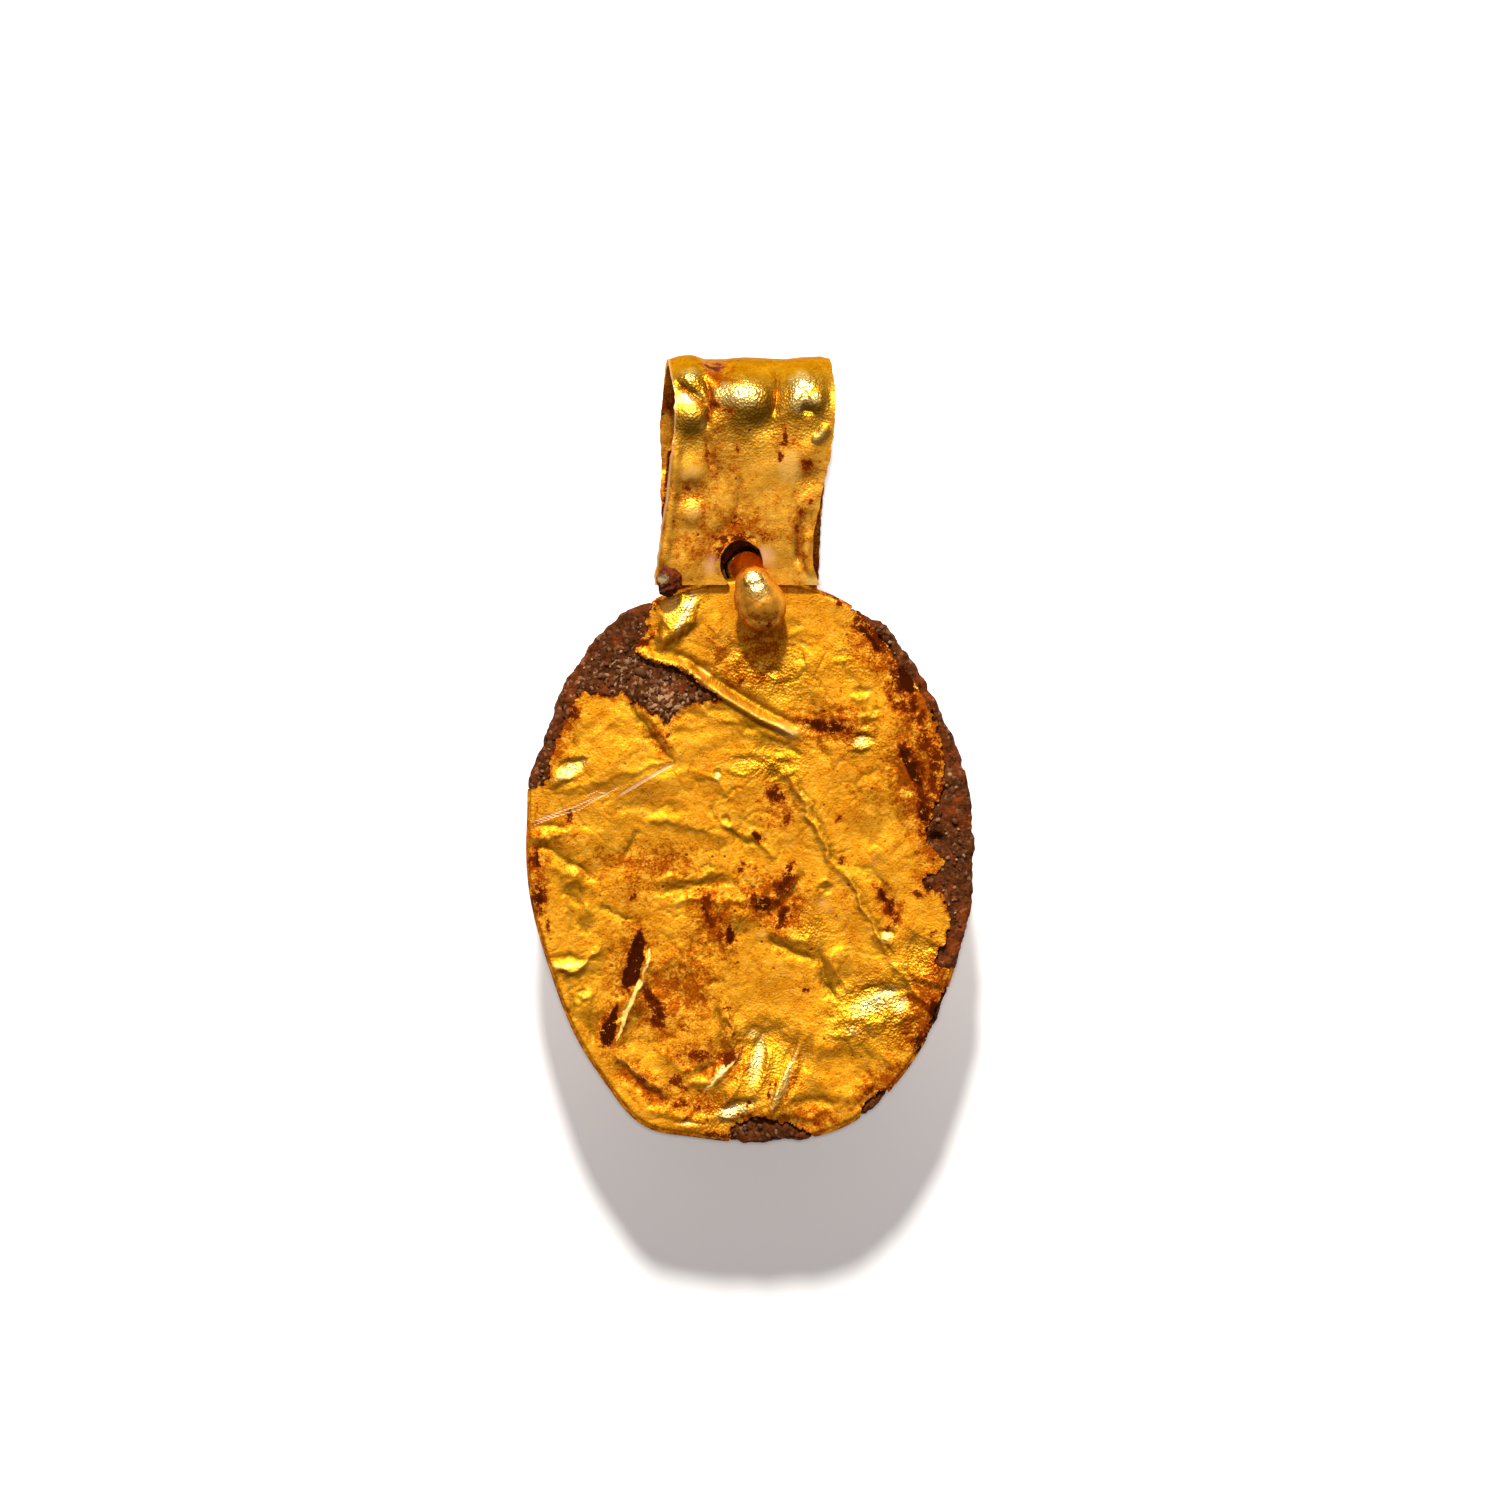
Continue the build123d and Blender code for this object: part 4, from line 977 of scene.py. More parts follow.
# Ash-grey sand shows in the tear more than elsewhere
px, py = to_picture(*places(core)[:, :2].T)
ashy = np.exp(-(spot(px, py, 664, 700, 30, 17, 12)[0] ** 2))
ashy = np.maximum(ashy, 0.5 * np.exp(-(spot(px, py, 625, 672, 40, 20, -20)[0] ** 2)))
paint(core, "ashy", ashy)

# %% [markdown]
# The back foil
# The back can't be seen in the photograph, so it is a plain guess: a second foil pressed round the
# belly, with soft wrinkles and a notch where the ear comes out. It is made like the front foil, so
# that the two look like one jewel.

# %% Back foil
BACK_SQUARES = 170
BACK_GAP = 0.05 * MM


def belly_height(share):
    return BELLY_TOP - belly_depth(share) * (BELLY_TOP - CORE_BOTTOM)


def back_margin(px, py):
    """Inside the back foil's edge, in pixels: the rim, and the notch for the ear."""
    share = rim_share(px, py)[0]
    x, y = to_metres(px, py)
    notch_side = (np.abs(x - PIN_PLACE[0]) - EAR_HALF - 0.15 * MM) / PIXEL
    notch_end = (EAR_LOW - 0.25 * MM - belly_height(share / BELLY_SHARE)) / PIXEL
    notch_end = np.where(y > 0, notch_end, 99)
    return np.maximum(notch_side, notch_end) + 0.8 * wander(px, py, 9, 41)


back_sheet = sheet_on_disc("back_leaf", BACK_SQUARES)
cut_away(back_sheet, back_margin)
flat = places(back_sheet)
px, py = to_picture(flat[:, 0], flat[:, 1])
share = rim_share(px, py)[0]
wrinkle = 0.05 * wander(px, py, 40, 42) + 0.03 * np.abs(wander(px, py, 18, 43))
wrinkle = (wrinkle + 0.012 * wander(px, py, 6, 44)) * MM * (belly_depth(share) < 0.96)
wrinkle = np.minimum(wrinkle, 0.06 * MM)
flat[:, 2] = belly_height(share) - BACK_GAP - wrinkle * 0.6
shrink = BELLY_SHARE + (BACK_GAP + wrinkle) / (DISC_HALF[0] * PIXEL)
flat[:, :2] = DISC_CENTRE + (flat[:, :2] - DISC_CENTRE) * shrink[:, None]
move_to(back_sheet, flat)
apply_modifier(back_sheet, "SOLIDIFY", thickness=FOIL_WALL * 0.9, offset=-1)
finish_mesh(back_sheet)
low = places(back_sheet)
low[:, 2] = np.maximum(low[:, 2], 0.0)
move_to(back_sheet, low)
px, py = to_picture(low[:, 0], low[:, 1])
# Clouds of each mask: strength, size in pixels, seed, and what is taken off
BACK_CLOUDS = {"stain": (0.9, 38, 45, 0.1), "rust": (0.9, 60, 46, 0), "dirt_and_shade": (0.6, 30, 47, 0),
               "rubbed_and_highlight": (0.5, 26, 48, 0)}
for name, (strength, size, seed, less) in BACK_CLOUDS.items():
    paint(back_sheet, name, np.clip(strength * wander(px, py, size, seed) - less, 0, 1))

# %% [markdown]
# The bail
# A strip of gold is folded over into a loop, flat in front, round on top, and down again behind.
# Seen from the side it is one line, so a grid is laid along that line. Its edges follow the strip's
# worn sides, and its rolls and dents are heights along the strip's own outward direction.

# %% Bail: side view and edges
STRIP_WALL = 0.3 * MM
LEAF_MIDDLE = 6.4 * MM
LEAF_LOW = 585  # picture row of the front leaf's lower edge
LOOP_TOP = 356.7
BEND_ROW = 418  # where the front leaf starts to turn over
FLOOR_END = 467  # where the back leaf leaves the surface
PINCH_ROW = 526
TAIL_ROW = 600
PINCH_MIDDLE = 2.64 * MM
FRONT_LEFT = [(357, 668), (380, 672), (395, 675), (420, 675), (440, 673), (460, 671), (480, 669),
              (500, 667), (515, 664), (530, 661), (550, 659.5), (565, 657), (575, 654), (585, 655)]
FRONT_RIGHT = [(357, 829), (370, 832), (385, 834), (400, 836), (430, 834), (445, 832), (460, 830),
               (470, 827), (480, 825), (490, 822), (505, 820), (520, 816), (535, 813), (550, 812),
               (565, 812), (575, 815), (585, 820)]
BACK_LEFT = [(357, 668), (365, 665), (385, 663), (410, 661), (420, 659), (440, 660), (460, 661),
             (490, 660), (530, 662), (600, 666)]
BACK_RIGHT = [(357, 829), (400, 830), (478, 825), (510, 822), (540, 820), (575, 819), (600, 815)]
# Waves of the loop's top edge: picture column and how many pixels lower
TOP_WAVE = [(668, 1.5), (680, -1), (693, -2.2), (703, 1), (725, 1.2), (745, -0.8), (785, 1.2),
            (800, -0.8), (820, -1.8), (829, 0.5)]
HOLE_MIDDLE = (741.5, 564.5)
HOLE_HALF = (21.5, 23.5)
STRIP_ROWS = 300
STRIP_COLUMNS = 84


def strip_stations():
    """Middle line from the side: picture row, height and whether it is the back leaf."""
    front = [(row, LEAF_MIDDLE, 0) for row in np.linspace(LEAF_LOW, BEND_ROW, 150)]
    floor = STRIP_WALL / 2
    centre = (LEAF_MIDDLE + floor) / 2
    rise = (LEAF_MIDDLE - floor) / 2
    turns = np.linspace(math.pi / 2, -math.pi / 2, 140)[1:]
    reach = BEND_ROW - LOOP_TOP - STRIP_WALL / 2 / PIXEL
    loop = [(BEND_ROW - reach * math.cos(t), centre + rise * math.sin(t), float(t < 0))
            for t in turns]
    lying = [(row, floor, 1) for row in np.linspace(BEND_ROW, FLOOR_END, 50)[1:]]
    slope = []
    for part in np.linspace(0, 1, 60)[1:]:
        eased = part * part * (3 - 2 * part)
        row = FLOOR_END + (PINCH_ROW - FLOOR_END) * part
        slope.append((row, floor + (PINCH_MIDDLE - floor) * eased, 1))
    tail = [(row, PINCH_MIDDLE, 1) for row in np.linspace(PINCH_ROW, TAIL_ROW, 60)[1:]]
    return np.array(front + loop + lying + slope + tail)


def read_edge(rows, row):
    return np.interp(row, [r[0] for r in rows], [r[1] for r in rows])


stations = strip_stations()
runs = np.hypot(np.diff(stations[:, 0]) * PIXEL, np.diff(stations[:, 1]))
travelled = np.concatenate([[0], np.cumsum(runs)])
print("the strip is", round(travelled[-1] / MM, 1), "mm long when flat")

# %% [markdown]
# The strip was bent and hammered flat again, which left rolls over the loop and shallow dents in
# the leaf. A sculptor would brush them in. As rows of numbers they can be set against the
# photograph one by one.

# %% Bail: rolls and dents
BAIL_FOLDS = [
    (0.16, 3.5, 5, [(669, 361), (682, 359), (690, 360), (697, 364), (703, 371), (716, 388)]),
    (-0.22, 3, 4, [(676, 384), (688, 391), (699, 398), (706, 409)]),
    (-0.16, 4, 4, [(706, 384), (710, 396), (709, 412), (706, 430)]),
    (-0.24, 6, 6, [(775, 362), (777, 380), (776, 400), (773, 418)]),
    (-0.12, 4, 4, [(800, 408), (808, 411), (816, 409)]),
    (0.14, 3, 5, [(812, 441), (820, 436), (827, 425)]),
    (0.1, 3, 6, [(670, 580), (663, 560), (667, 530), (671, 500), (676, 460), (679, 430)]),
    (-0.05, 3, 3, [(740, 476), (740, 495), (738, 512)]),
    (-0.06, 4, 4, [(708, 438), (709, 452), (711, 470)]),
    (0.05, 4, 4, [(718, 572), (720, 556), (728, 545), (741, 540), (754, 544), (763, 560)]),
    (-0.03, 6, 5, [(742, 513), (728, 525), (708, 545)]),
    (0.08, 5, 3, [(808, 530), (806, 555), (812, 578)]),
    (-0.1, 3, 3, [(800, 520), (797, 545), (798, 565)]),
]
# Bulges and dents: middle, half length, half width, turn, rise in mm
BAIL_BULGES = [
    (690, 378, 15, 15, 0, 0.3), (691, 417, 15, 14, 0, 0.2), (746, 392, 26, 24, 0, 0.34),
    (802, 384, 14, 16, 0, 0.3), (797, 404, 9, 9, 0, 0.12), (816, 402, 9, 10, 30, 0.2),
    (820, 380, 10, 18, 0, 0.12), (766, 425, 16, 14, 0, -0.1), (720, 410, 12, 10, 0, -0.08),
    (690, 470, 14, 14, 0, 0.09), (692, 493, 12, 12, 0, -0.08), (692, 514, 12, 11, 0, 0.08),
    (790, 466, 12, 15, 0, 0.06), (808, 452, 12, 12, 0, 0.08), (720, 480, 10, 14, 0, -0.06),
    (685, 560, 20, 20, 0, 0.06), (780, 540, 20, 30, 0, 0.04), (672, 450, 5, 16, 0, 0.08),
    (810, 480, 10, 10, 0, -0.06), (805, 505, 9, 10, 0, 0.06),
]


def bail_relief(px, py):
    """Rolls, dents and unevenness along the strip's outward direction, in millimetres."""
    height = np.zeros(np.shape(px))
    for rise, left, right, line in BAIL_FOLDS:
        height = height + rise * ridge(px, py, line, left, right)
    for x, y, long, wide, turn, rise in BAIL_BULGES:
        out = spot(px, py, x, y, long, wide, turn)[0]
        height = height + rise * np.exp(-(out**2.4))
    height = height + 0.014 * wander(px, py, 24, 51) + 0.003 * wander(px, py, 8, 52)
    return np.minimum(height + 0.002 * wander(px, py, 4, 53), 0.40)


print(len(BAIL_FOLDS), "rolls and", len(BAIL_BULGES), "bulges and dents on the bail")

# %% [markdown]
# The bail is marked like the foil: painted shade lies over the loop's shoulders and its top edge,
# stains and painted shade sit round the hole, stains sit in dents, and the tops of the rolls shine
# with rubbed metal and painted highlights. The columns are those of the foil's tables.

# %% Bail: stains and worn places
BAIL_STAINS = [
    (713, 367, 9, 5, 10, 0.9), (715, 404, 6, 5, 0, 0.9), (725, 410, 7, 5, 20, 0.8),
    (785, 440, 5, 8, 10, 0.95), (781, 457, 3, 6, 0, 0.8), (807, 464, 6, 6, 0, 0.8),
    (818, 462, 3, 4, 0, 0.7), (708, 451, 3, 13, 0, 0.6), (727, 436, 4, 5, 20, 0.5),
    (738, 448, 3, 6, -20, 0.5), (716, 479, 6, 10, 0, 0.5), (690, 489, 12, 5, 0, 0.6),
    (683, 496, 4, 8, 0, 0.5), (800, 510, 5, 4, 0, 0.7), (810, 503, 3, 3, 0, 0.7),
    (797, 530, 4, 7, 0, 0.6), (740, 494, 2, 16, 0, 0.4), (675, 449, 2.5, 3, 0, 0.8),
    # The row at 741, 538 is painted shade: a brown band along the pressed rim over the hole
    (736, 522, 9, 5, -30, 0.6), (741, 538, 24, 4, 0, 1.0), (720, 550, 4, 12, 20, 0.8),
    (718, 548, 7, 12, 40, 0.6), (711, 540, 9, 6, -40, 0.5), (692, 441, 8, 8, 0, 0.35),
    (776, 500, 2, 12, 0, 0.35), (810, 545, 3, 14, 0, 0.4), (733, 535, 3, 3, 0, 0.9),
]
BAIL_RUST = [
    (700, 520, 22, 40, 0, 0.5), (730, 480, 20, 50, 0, 0.35), (676, 540, 12, 40, 0, 0.4),
    (668, 362, 8, 5, 0, 0.3), (662, 500, 5, 60, 0, 0.6), (716, 378, 14, 14, 0, 0.8),
    (720, 408, 16, 12, 0, 0.6), (714, 460, 10, 34, 0, 0.6), (692, 490, 20, 14, 0, 0.7),
    (788, 445, 12, 18, 0, 0.6), (806, 470, 14, 14, 0, 0.6), (740, 530, 30, 18, 0, 0.8),
    (700, 545, 20, 24, 0, 0.6), (800, 520, 12, 26, 0, 0.6), (800, 560, 12, 20, 0, 0.4),
    (735, 460, 12, 40, 0, 0.3), (670, 400, 6, 30, 0, 0.2),
]
# Painted shade: olive round the rolls, along the loop's top edge and over the hole
BAIL_PAINTED_SHADE = [
    (748, 404, 36, 34, 0, 1.15), (690, 382, 19, 21, 0, 1.2), (806, 392, 24, 32, 0, 1.15),
    (690, 424, 15, 16, 0, 1.0), (815, 430, 12, 16, 0, 0.5), (692, 441, 12, 10, 0, 0.8),
    (766, 425, 18, 18, 0, 0.6), (776, 385, 5, 24, 0, 0.6), (700, 400, 12, 4, 35, 0.9),
    (818, 372, 9, 10, 0, 0.7), (808, 411, 8, 3, 0, 0.9), (690, 365, 18, 5, 0, 0.6),
    (707, 410, 4, 14, 0, 0.6), (692, 508, 10, 5, 0, 0.4), (750, 357, 90, 9, 0, 1.0),
    (741, 538, 28, 9, 0, 1.2), (722, 528, 14, 8, -40, 0.7), (725, 395, 6, 14, 0, 0.5),
    (820, 450, 8, 14, 0, 0.3),
]
# Painted highlights with rubbed metal: bright cores on the rolls and along the left edge
BAIL_RUBBED_AND_HIGHLIGHTS = [
    (730, 395, 12, 9, 0, 1.0), (746, 395, 12, 10, 0, 1.0), (748, 386, 12, 9, 0, 0.5),
    (801, 384, 9, 12, 0, 1.0), (797, 404, 6, 7, 0, 1.0), (814, 400, 7, 5, -30, 0.9),
    (689, 397, 9, 5, 0, 1.0), (690, 374, 9, 8, 0, 0.6), (819, 436, 9, 4, -45, 0.8),
    (690, 418, 9, 9, 0, 0.4), (812, 582, 12, 5, 30, 0.7), (667, 432, 5, 12, 0, 0.9),
]
BAIL_COARSE = [
    (750, 366, 95, 20, 0, 0.8), (748, 402, 38, 34, 0, 0.9), (692, 380, 18, 20, 0, 1.0),
    (806, 392, 24, 34, 0, 1.0), (690, 424, 16, 20, 0, 0.9), (690, 502, 12, 10, 0, 0.6),
    (808, 480, 10, 20, 0, 0.4),
]
BAIL_ASH = [(710, 566, 9, 13, 0, 0.9), (766, 555, 14, 12, 40, 0.9), (745, 540, 24, 6, 0, 0.5)]
# Pale, matt patches, which look like worn or repaired metal
BAIL_MATT = [
    (789, 467, 11, 15, 8, 1.0), (691, 473, 13, 7, 0, 0.8), (692, 513, 8, 8, 0, 0.8),
    (770, 520, 16, 30, 0, 0.4), (725, 500, 16, 20, 0, 0.4), (703, 425, 8, 12, 0, 0.5),
]
# Painted shade: the back leaf lies in the front leaf's shade, so it is darkened, most of all on its
# right
BACK_LEAF_SHADE_MASKS = {"stain": 0.40, "rust": 0.80, "dirt_and_shade": 0.9, "rubbed_and_highlight": 0.0, "matt": 0.0,
                   "coarse": 0.3}
print(len(BAIL_STAINS), "stains and", len(BAIL_RUBBED_AND_HIGHLIGHTS), "rubbed places on the bail")

# %% [markdown]
# A bent strip could be a Curve with a bevel, or a face that is spun, but both have straight sides.
# Here a flat grid is laid along the side view. Across it runs from the left edge to the right one,
# and along it runs the travelled length, so that its squares stay even round the bend.


# %% Bail: grid along the side view
def strip_at(place):
    """Picture row, height and leaf of the strip's middle line at a travelled length."""
    return [np.interp(place, travelled, column) for column in stations.T]


deselect()
bpy.ops.mesh.primitive_grid_add(x_subdivisions=STRIP_COLUMNS, y_subdivisions=STRIP_ROWS, size=2)
bail = just_made("bail_strip")
flat = places(bail)
across = (flat[:, 0] + 1) / 2
place = (flat[:, 1] + 1) / 2 * travelled[-1]
row, height, leaf = strip_at(place)
back = leaf > 0.5
# The outward direction stands square on the way from just before a place to just after it
step = 0.02 * MM
row_on, height_on, _ = strip_at(place + step)
row_off, height_off, _ = strip_at(place - step)
tangent_y = -(row_on - row_off) * PIXEL
tangent_z = height_on - height_off
tangent = np.maximum(np.hypot(tangent_y, tangent_z), 1e-9)
normal_y, normal_z = -tangent_z / tangent, tangent_y / tangent
left = np.where(back, read_edge(BACK_LEFT, row), read_edge(FRONT_LEFT, row))
right = np.where(back, read_edge(BACK_RIGHT, row), read_edge(FRONT_RIGHT, row))
px = left + (right - left) * across
on_loop = np.clip((BEND_ROW - row) / (BEND_ROW - LOOP_TOP), 0, 1)
py = row + read_edge(TOP_WAVE, px) * on_loop**2
loose = 1.0 * wander(px, py, 7, 54)
at_edge = np.minimum(across, 1 - across) < 0.002
px = px + np.where(at_edge, loose * 0.6, 0)
print("grid of", len(flat), "vertices along the strip")

# %% [markdown]
# The pin goes through an arched hole in front and a round one behind. A Boolean could cut them out
# of the finished loop, but they are cleaner when they are cut in the flat grid, while each vertex
# still knows its place in the picture.


# %% Bail: holes
def bail_margin(px, py, back):
    """Inside the strip, in pixels: the arched hole in front and the round hole behind."""
    out = np.hypot((px - HOLE_MIDDLE[0]) / HOLE_HALF[0], (py - HOLE_MIDDLE[1]) / HOLE_HALF[1])
    front_gap = (out - 1) * HOLE_HALF[0] + 0.5 * wander(px, py, 7, 55)
    pin_px, pin_py = to_picture(*PIN_PLACE)
    back_gap = np.hypot(px - pin_px, py - pin_py) - PIN_HOLE / PIXEL
    return np.where(back, back_gap, front_gap)


flat[:, 0], flat[:, 1] = px, py
flat[:, 2] = back
move_to(bail, flat)
paint(bail, "height", height)
paint(bail, "out_y", normal_y)
paint(bail, "out_z", normal_z)
edit_selected(bail, bail_margin(px, py, back) < 0, (bpy.ops.mesh.delete, {"type": "VERT"}))


def read(piece, name):
    """Takes a stored mask back off the vertices."""
    values = np.empty(len(piece.data.vertices), np.float32)
    mask = piece.data.attributes[name]
    mask.data.foreach_get("value", values)
    piece.data.attributes.remove(mask)
    return values.astype(float)


flat = places(bail)
px, py, back = flat[:, 0], flat[:, 1], flat[:, 2] > 0.5
px, py = drawn_to_edge(bail, px, py, lambda x, y: bail_margin(x, y, back))
height, normal_y, normal_z = read(bail, "height"), read(bail, "out_y"), read(bail, "out_z")
print("the holes leave", len(flat), "vertices")

# %% [markdown]
# Now the grid is bent: every vertex goes to its height on the side view and is pushed outwards by
# its roll or dent. Near the lower edge dents fade, because that edge lies flat on the real bail.

# %% Bail: bent and thickened
relief = np.where(back, 0.03 * wander(px, py, 16, 56), bail_relief(px, py)) * MM
relief = relief * np.where(back & (normal_z < -0.9), 0.3, 1) * np.clip(np.abs(normal_z) + 0.3, 0, 1)
near_low_edge = np.clip((LEAF_LOW - py) / 16, 0, 1)
relief = np.where(back, relief, np.where(relief < 0, relief * near_low_edge, relief))
x, y = to_metres(px, py)
flat[:, 0] = x
flat[:, 1] = y + normal_y * relief
flat[:, 2] = height + normal_z * relief
move_to(bail, flat)
apply_modifier(bail, "SOLIDIFY", thickness=STRIP_WALL, offset=0)
finish_mesh(bail, 50)
points = places(bail)
points[:, 2] = np.maximum(points[:, 2], 0.0)
move_to(bail, points)

# %% [markdown]
# The tables hold for the upper side. The back leaf, of which the photograph shows only a shaded
# strip, takes clouds of the same masks, strong enough to be painted shade, so that the loop doesn't
# end in clean metal.

# %% Bail: painted masks
px, py = to_picture(points[:, 0], points[:, 1])
facing_up = (places(bail, "normal")[:, 2] > -0.3) & ((points[:, 2] > 4.5 * MM) | (py < 372))
elsewhere = np.clip(wander(px + points[:, 2] / PIXEL, py, 30, 57), 0, 1)
near = 2.0 * wander(px, py, 8, 58)
aside = 2.0 * wander(px, py, 8, 59)
gap = read_edge(FRONT_LEFT, py) - px
for name, spots in (("stain", BAIL_STAINS), ("rust", BAIL_RUST), ("dirt_and_shade", BAIL_PAINTED_SHADE),
                    ("rubbed_and_highlight", BAIL_RUBBED_AND_HIGHLIGHTS), ("matt", BAIL_MATT), ("coarse", BAIL_COARSE)):
    mask = strongest(px + near, py + aside, spots)
    back_leaf_shade = BACK_LEAF_SHADE_MASKS[name] * (0.5 + elsewhere) * np.where(px > 790, 2.0, 1.0)
    if name == "stain":
        # Painted shade: a dark band on the back leaf where the front leaf's left edge lies over it
        back_leaf_shade = np.maximum(back_leaf_shade, 1.5 * np.exp(-((gap / 5.0) ** 4)) * (py > 450))
    paint(bail, name, np.where(facing_up, mask, back_leaf_shade))
# Pinkish ash round the hole, and a pale line along the leaf's left edge
ash = 0.5 * strongest(px + near, py + aside, BAIL_ASH)
left_edge = np.exp(-(((px - read_edge(FRONT_LEFT, py)) / 2.2) ** 2))
paint(bail, "scratch", np.where(facing_up, np.maximum(ash, 0.6 * left_edge), 0))
print("painted seven masks on the bail,", int(facing_up.sum()), "vertices by its tables")

# %% [markdown]
# The pin
# A round pin comes up through the hole, bends over towards the lower right and ends in a thick,
# rounded tip. A circle is extruded and spun for the shank and its bend, as a smith bends a rod. A
# curve with a bevel would do too, but its ends would be flat.

# %% Pin: shank and bend
PIN_RADIUS = 0.80 * MM
TIP_RADIUS = 1.11 * MM
TIP_PLACE = Vector((0.51 * MM, 6.46 * MM, 7.48 * MM))
HEAD_RADIUS = 1.4 * MM
HEAD_LOW = 2.16 * MM
HEAD_HIGH = 2.44 * MM
BEND_LOW = 6.35 * MM
BEND_RADIUS = 0.95 * MM
deselect()
bpy.ops.mesh.primitive_circle_add(vertices=40, radius=PIN_RADIUS, fill_type="NGON",
                                  location=(*PIN_PLACE, HEAD_LOW))
pin = just_made("gold_pin")
bpy.ops.object.transform_apply(location=True, rotation=True, scale=True)
lean = Vector((TIP_PLACE.x - PIN_PLACE[0], TIP_PLACE.y - PIN_PLACE[1], 0)).normalized()
turn_axis = Vector((0, 0, 1)).cross(lean)
turn_middle = Vector((*PIN_PLACE, BEND_LOW)) + lean * BEND_RADIUS
everything = np.ones(len(pin.data.vertices), bool)
edit_selected(
    pin, everything,
    (bpy.ops.mesh.extrude_region_move,
     {"TRANSFORM_OT_translate": {"value": (0, 0, BEND_LOW - HEAD_LOW)}}),
    (bpy.ops.mesh.spin, {"steps": 14, "angle": math.radians(80), "center": turn_middle,
                         "axis": turn_axis}),
)
bend_end = places(pin)
print("the bend rises to", round(float(bend_end[:, 2].max()) / MM, 2), "mm")

# %% [markdown]
# The tip was pressed thick and round, and a plain head holds the other end. Remesh melts balls and
# a short cylinder into the bent rod. A Boolean would leave sharp seams, which worn metal hasn't.

# %% Pin: tip and head
# Balls that melt into the tip: shift from its middle and share of its radius
TIP_BALLS = [((0, 0, 0), 1.0), ((-0.16, 0.26, 0.02), 0.97), ((0.04, -0.12, -0.02), 0.97),
             ((-0.36, 0.90, 0.08), 0.74)]
parts = []
for shift, share in TIP_BALLS:
    deselect()
    bpy.ops.mesh.primitive_uv_sphere_add(segments=40, ring_count=20, radius=TIP_RADIUS * share,
                                         location=TIP_PLACE + Vector(shift) * MM)
    parts.append(bpy.context.object)
deselect()
bpy.ops.mesh.primitive_cylinder_add(vertices=48, radius=HEAD_RADIUS, depth=HEAD_HIGH - HEAD_LOW,
                                    location=(*PIN_PLACE, (HEAD_LOW + HEAD_HIGH) / 2))
parts.append(bpy.context.object)
join(pin, parts)
apply_modifier(pin, "REMESH", mode="VOXEL", voxel_size=0.06 * MM)
apply_modifier(pin, "SMOOTH", factor=0.6, iterations=8)
points, normals, push = grained(pin, 9, (0.9 * MM, 0.02 * MM), (0.3 * MM, 0.008 * MM))
px, py = to_picture(points[:, 0], points[:, 1])
on_top = points[:, 2] > 6.6 * MM
lip = 0.08 * ridge(px, py, [(746, 622), (757, 626), (769, 627), (781, 621)], 3, 3)
groove = 0.06 * ridge(px, py, [(746, 616), (757, 621), (769, 622), (781, 616)], 2.5, 2.5)
rough = 0.05 * np.exp(-(spot(px, py, 753, 581, 13, 13, -20)[0] ** 4))
ragged = rough * (0.7 + 0.5 * wander(px, py, 7, 64))
push = push + np.where(on_top, lip - groove + ragged, 0) * MM
move_to(pin, points + normals * push[:, None])
finish_mesh(pin, 80)

# %% [markdown]
# The pin is the cleanest piece: rubbed bright and grainy on its tip, where a painted highlight sits
# too, with rust only round its root and below the tip, so a few spots are enough.

# %% Pin: painted masks
PIN_MARKS = {
    "stain": [(742, 560, 16, 9, -10, 0.15), (769, 625, 3, 3, 0, 1.0), (750, 618, 10, 3, 20, 0.4),
              (780, 600, 4, 12, 0, 0.3)],
    "rust": [(744, 560, 26, 16, 0, 0.35), (766, 622, 24, 8, 0, 0.5), (736, 600, 6, 20, 0, 0.3)],
    "dirt_and_shade": [(770, 588, 10, 10, 0, 0.2)],
    "coarse": [(755, 582, 11, 13, -20, 1.3)],
    # Rubbed metal and a painted highlight on the tip's upper left
    "rubbed_and_highlight": [(757, 585, 9, 13, -20, 1.0)],
}
points = places(pin)
px, py = to_picture(points[:, 0], points[:, 1])
high = (points[:, 2] > 5.5 * MM) * 1.0
for name, spots in PIN_MARKS.items():
    paint(pin, name, high * strongest(px, py, spots))
print("painted", len(PIN_MARKS), "masks on the pin")

# %% [markdown]
# The crust lump
# A dark lump of crust sits on the bail's lower left corner with a grey stone in it. It grew on the
# metal in the ground. A fine ball is pushed in and out by noise and squashed; metaballs could make
# it too, but they give no say over its size.

# %% Crust lump
LUMP_PLACE = Vector((*to_metres(668.5, 582), 6.93 * MM))
LUMP_HALF = (0.52, 0.62, 0.36)  # mm
deselect()
bpy.ops.mesh.primitive_ico_sphere_add(subdivisions=5, radius=1 * MM)
lump = just_made("crust_knob")
points, normals, push = grained(lump, 13, (1.1 * MM, 0.16 * MM), (0.5 * MM, 0.14 * MM),
                                (0.2 * MM, 0.06 * MM))
points = (points + normals * push[:, None]) * np.array(LUMP_HALF) + np.array(LUMP_PLACE)
points[:, 2] = np.maximum(points[:, 2], 6.58 * MM)
move_to(lump, points)
finish_mesh(lump, 80)
px, py = to_picture(points[:, 0], points[:, 1])
paint(lump, "ashy", 2.2 * np.exp(-(spot(px, py, 663, 579, 6, 5, 0)[0] ** 4)))

# %% [markdown]
# Grit
# In the tear and along the bare rim the core is full of sand. A particle system could strew it, but
# the stones that the photograph shows one by one have to lie in their own places. One stone is a
# squashed ball of few faces, and the rest are copies of it with their own size, turn and place.

# %% Grit
STONES = 300
PALE_ENOUGH = 0.55  # tone that a stone from the photograph has at least
rng = np.random.default_rng(7)
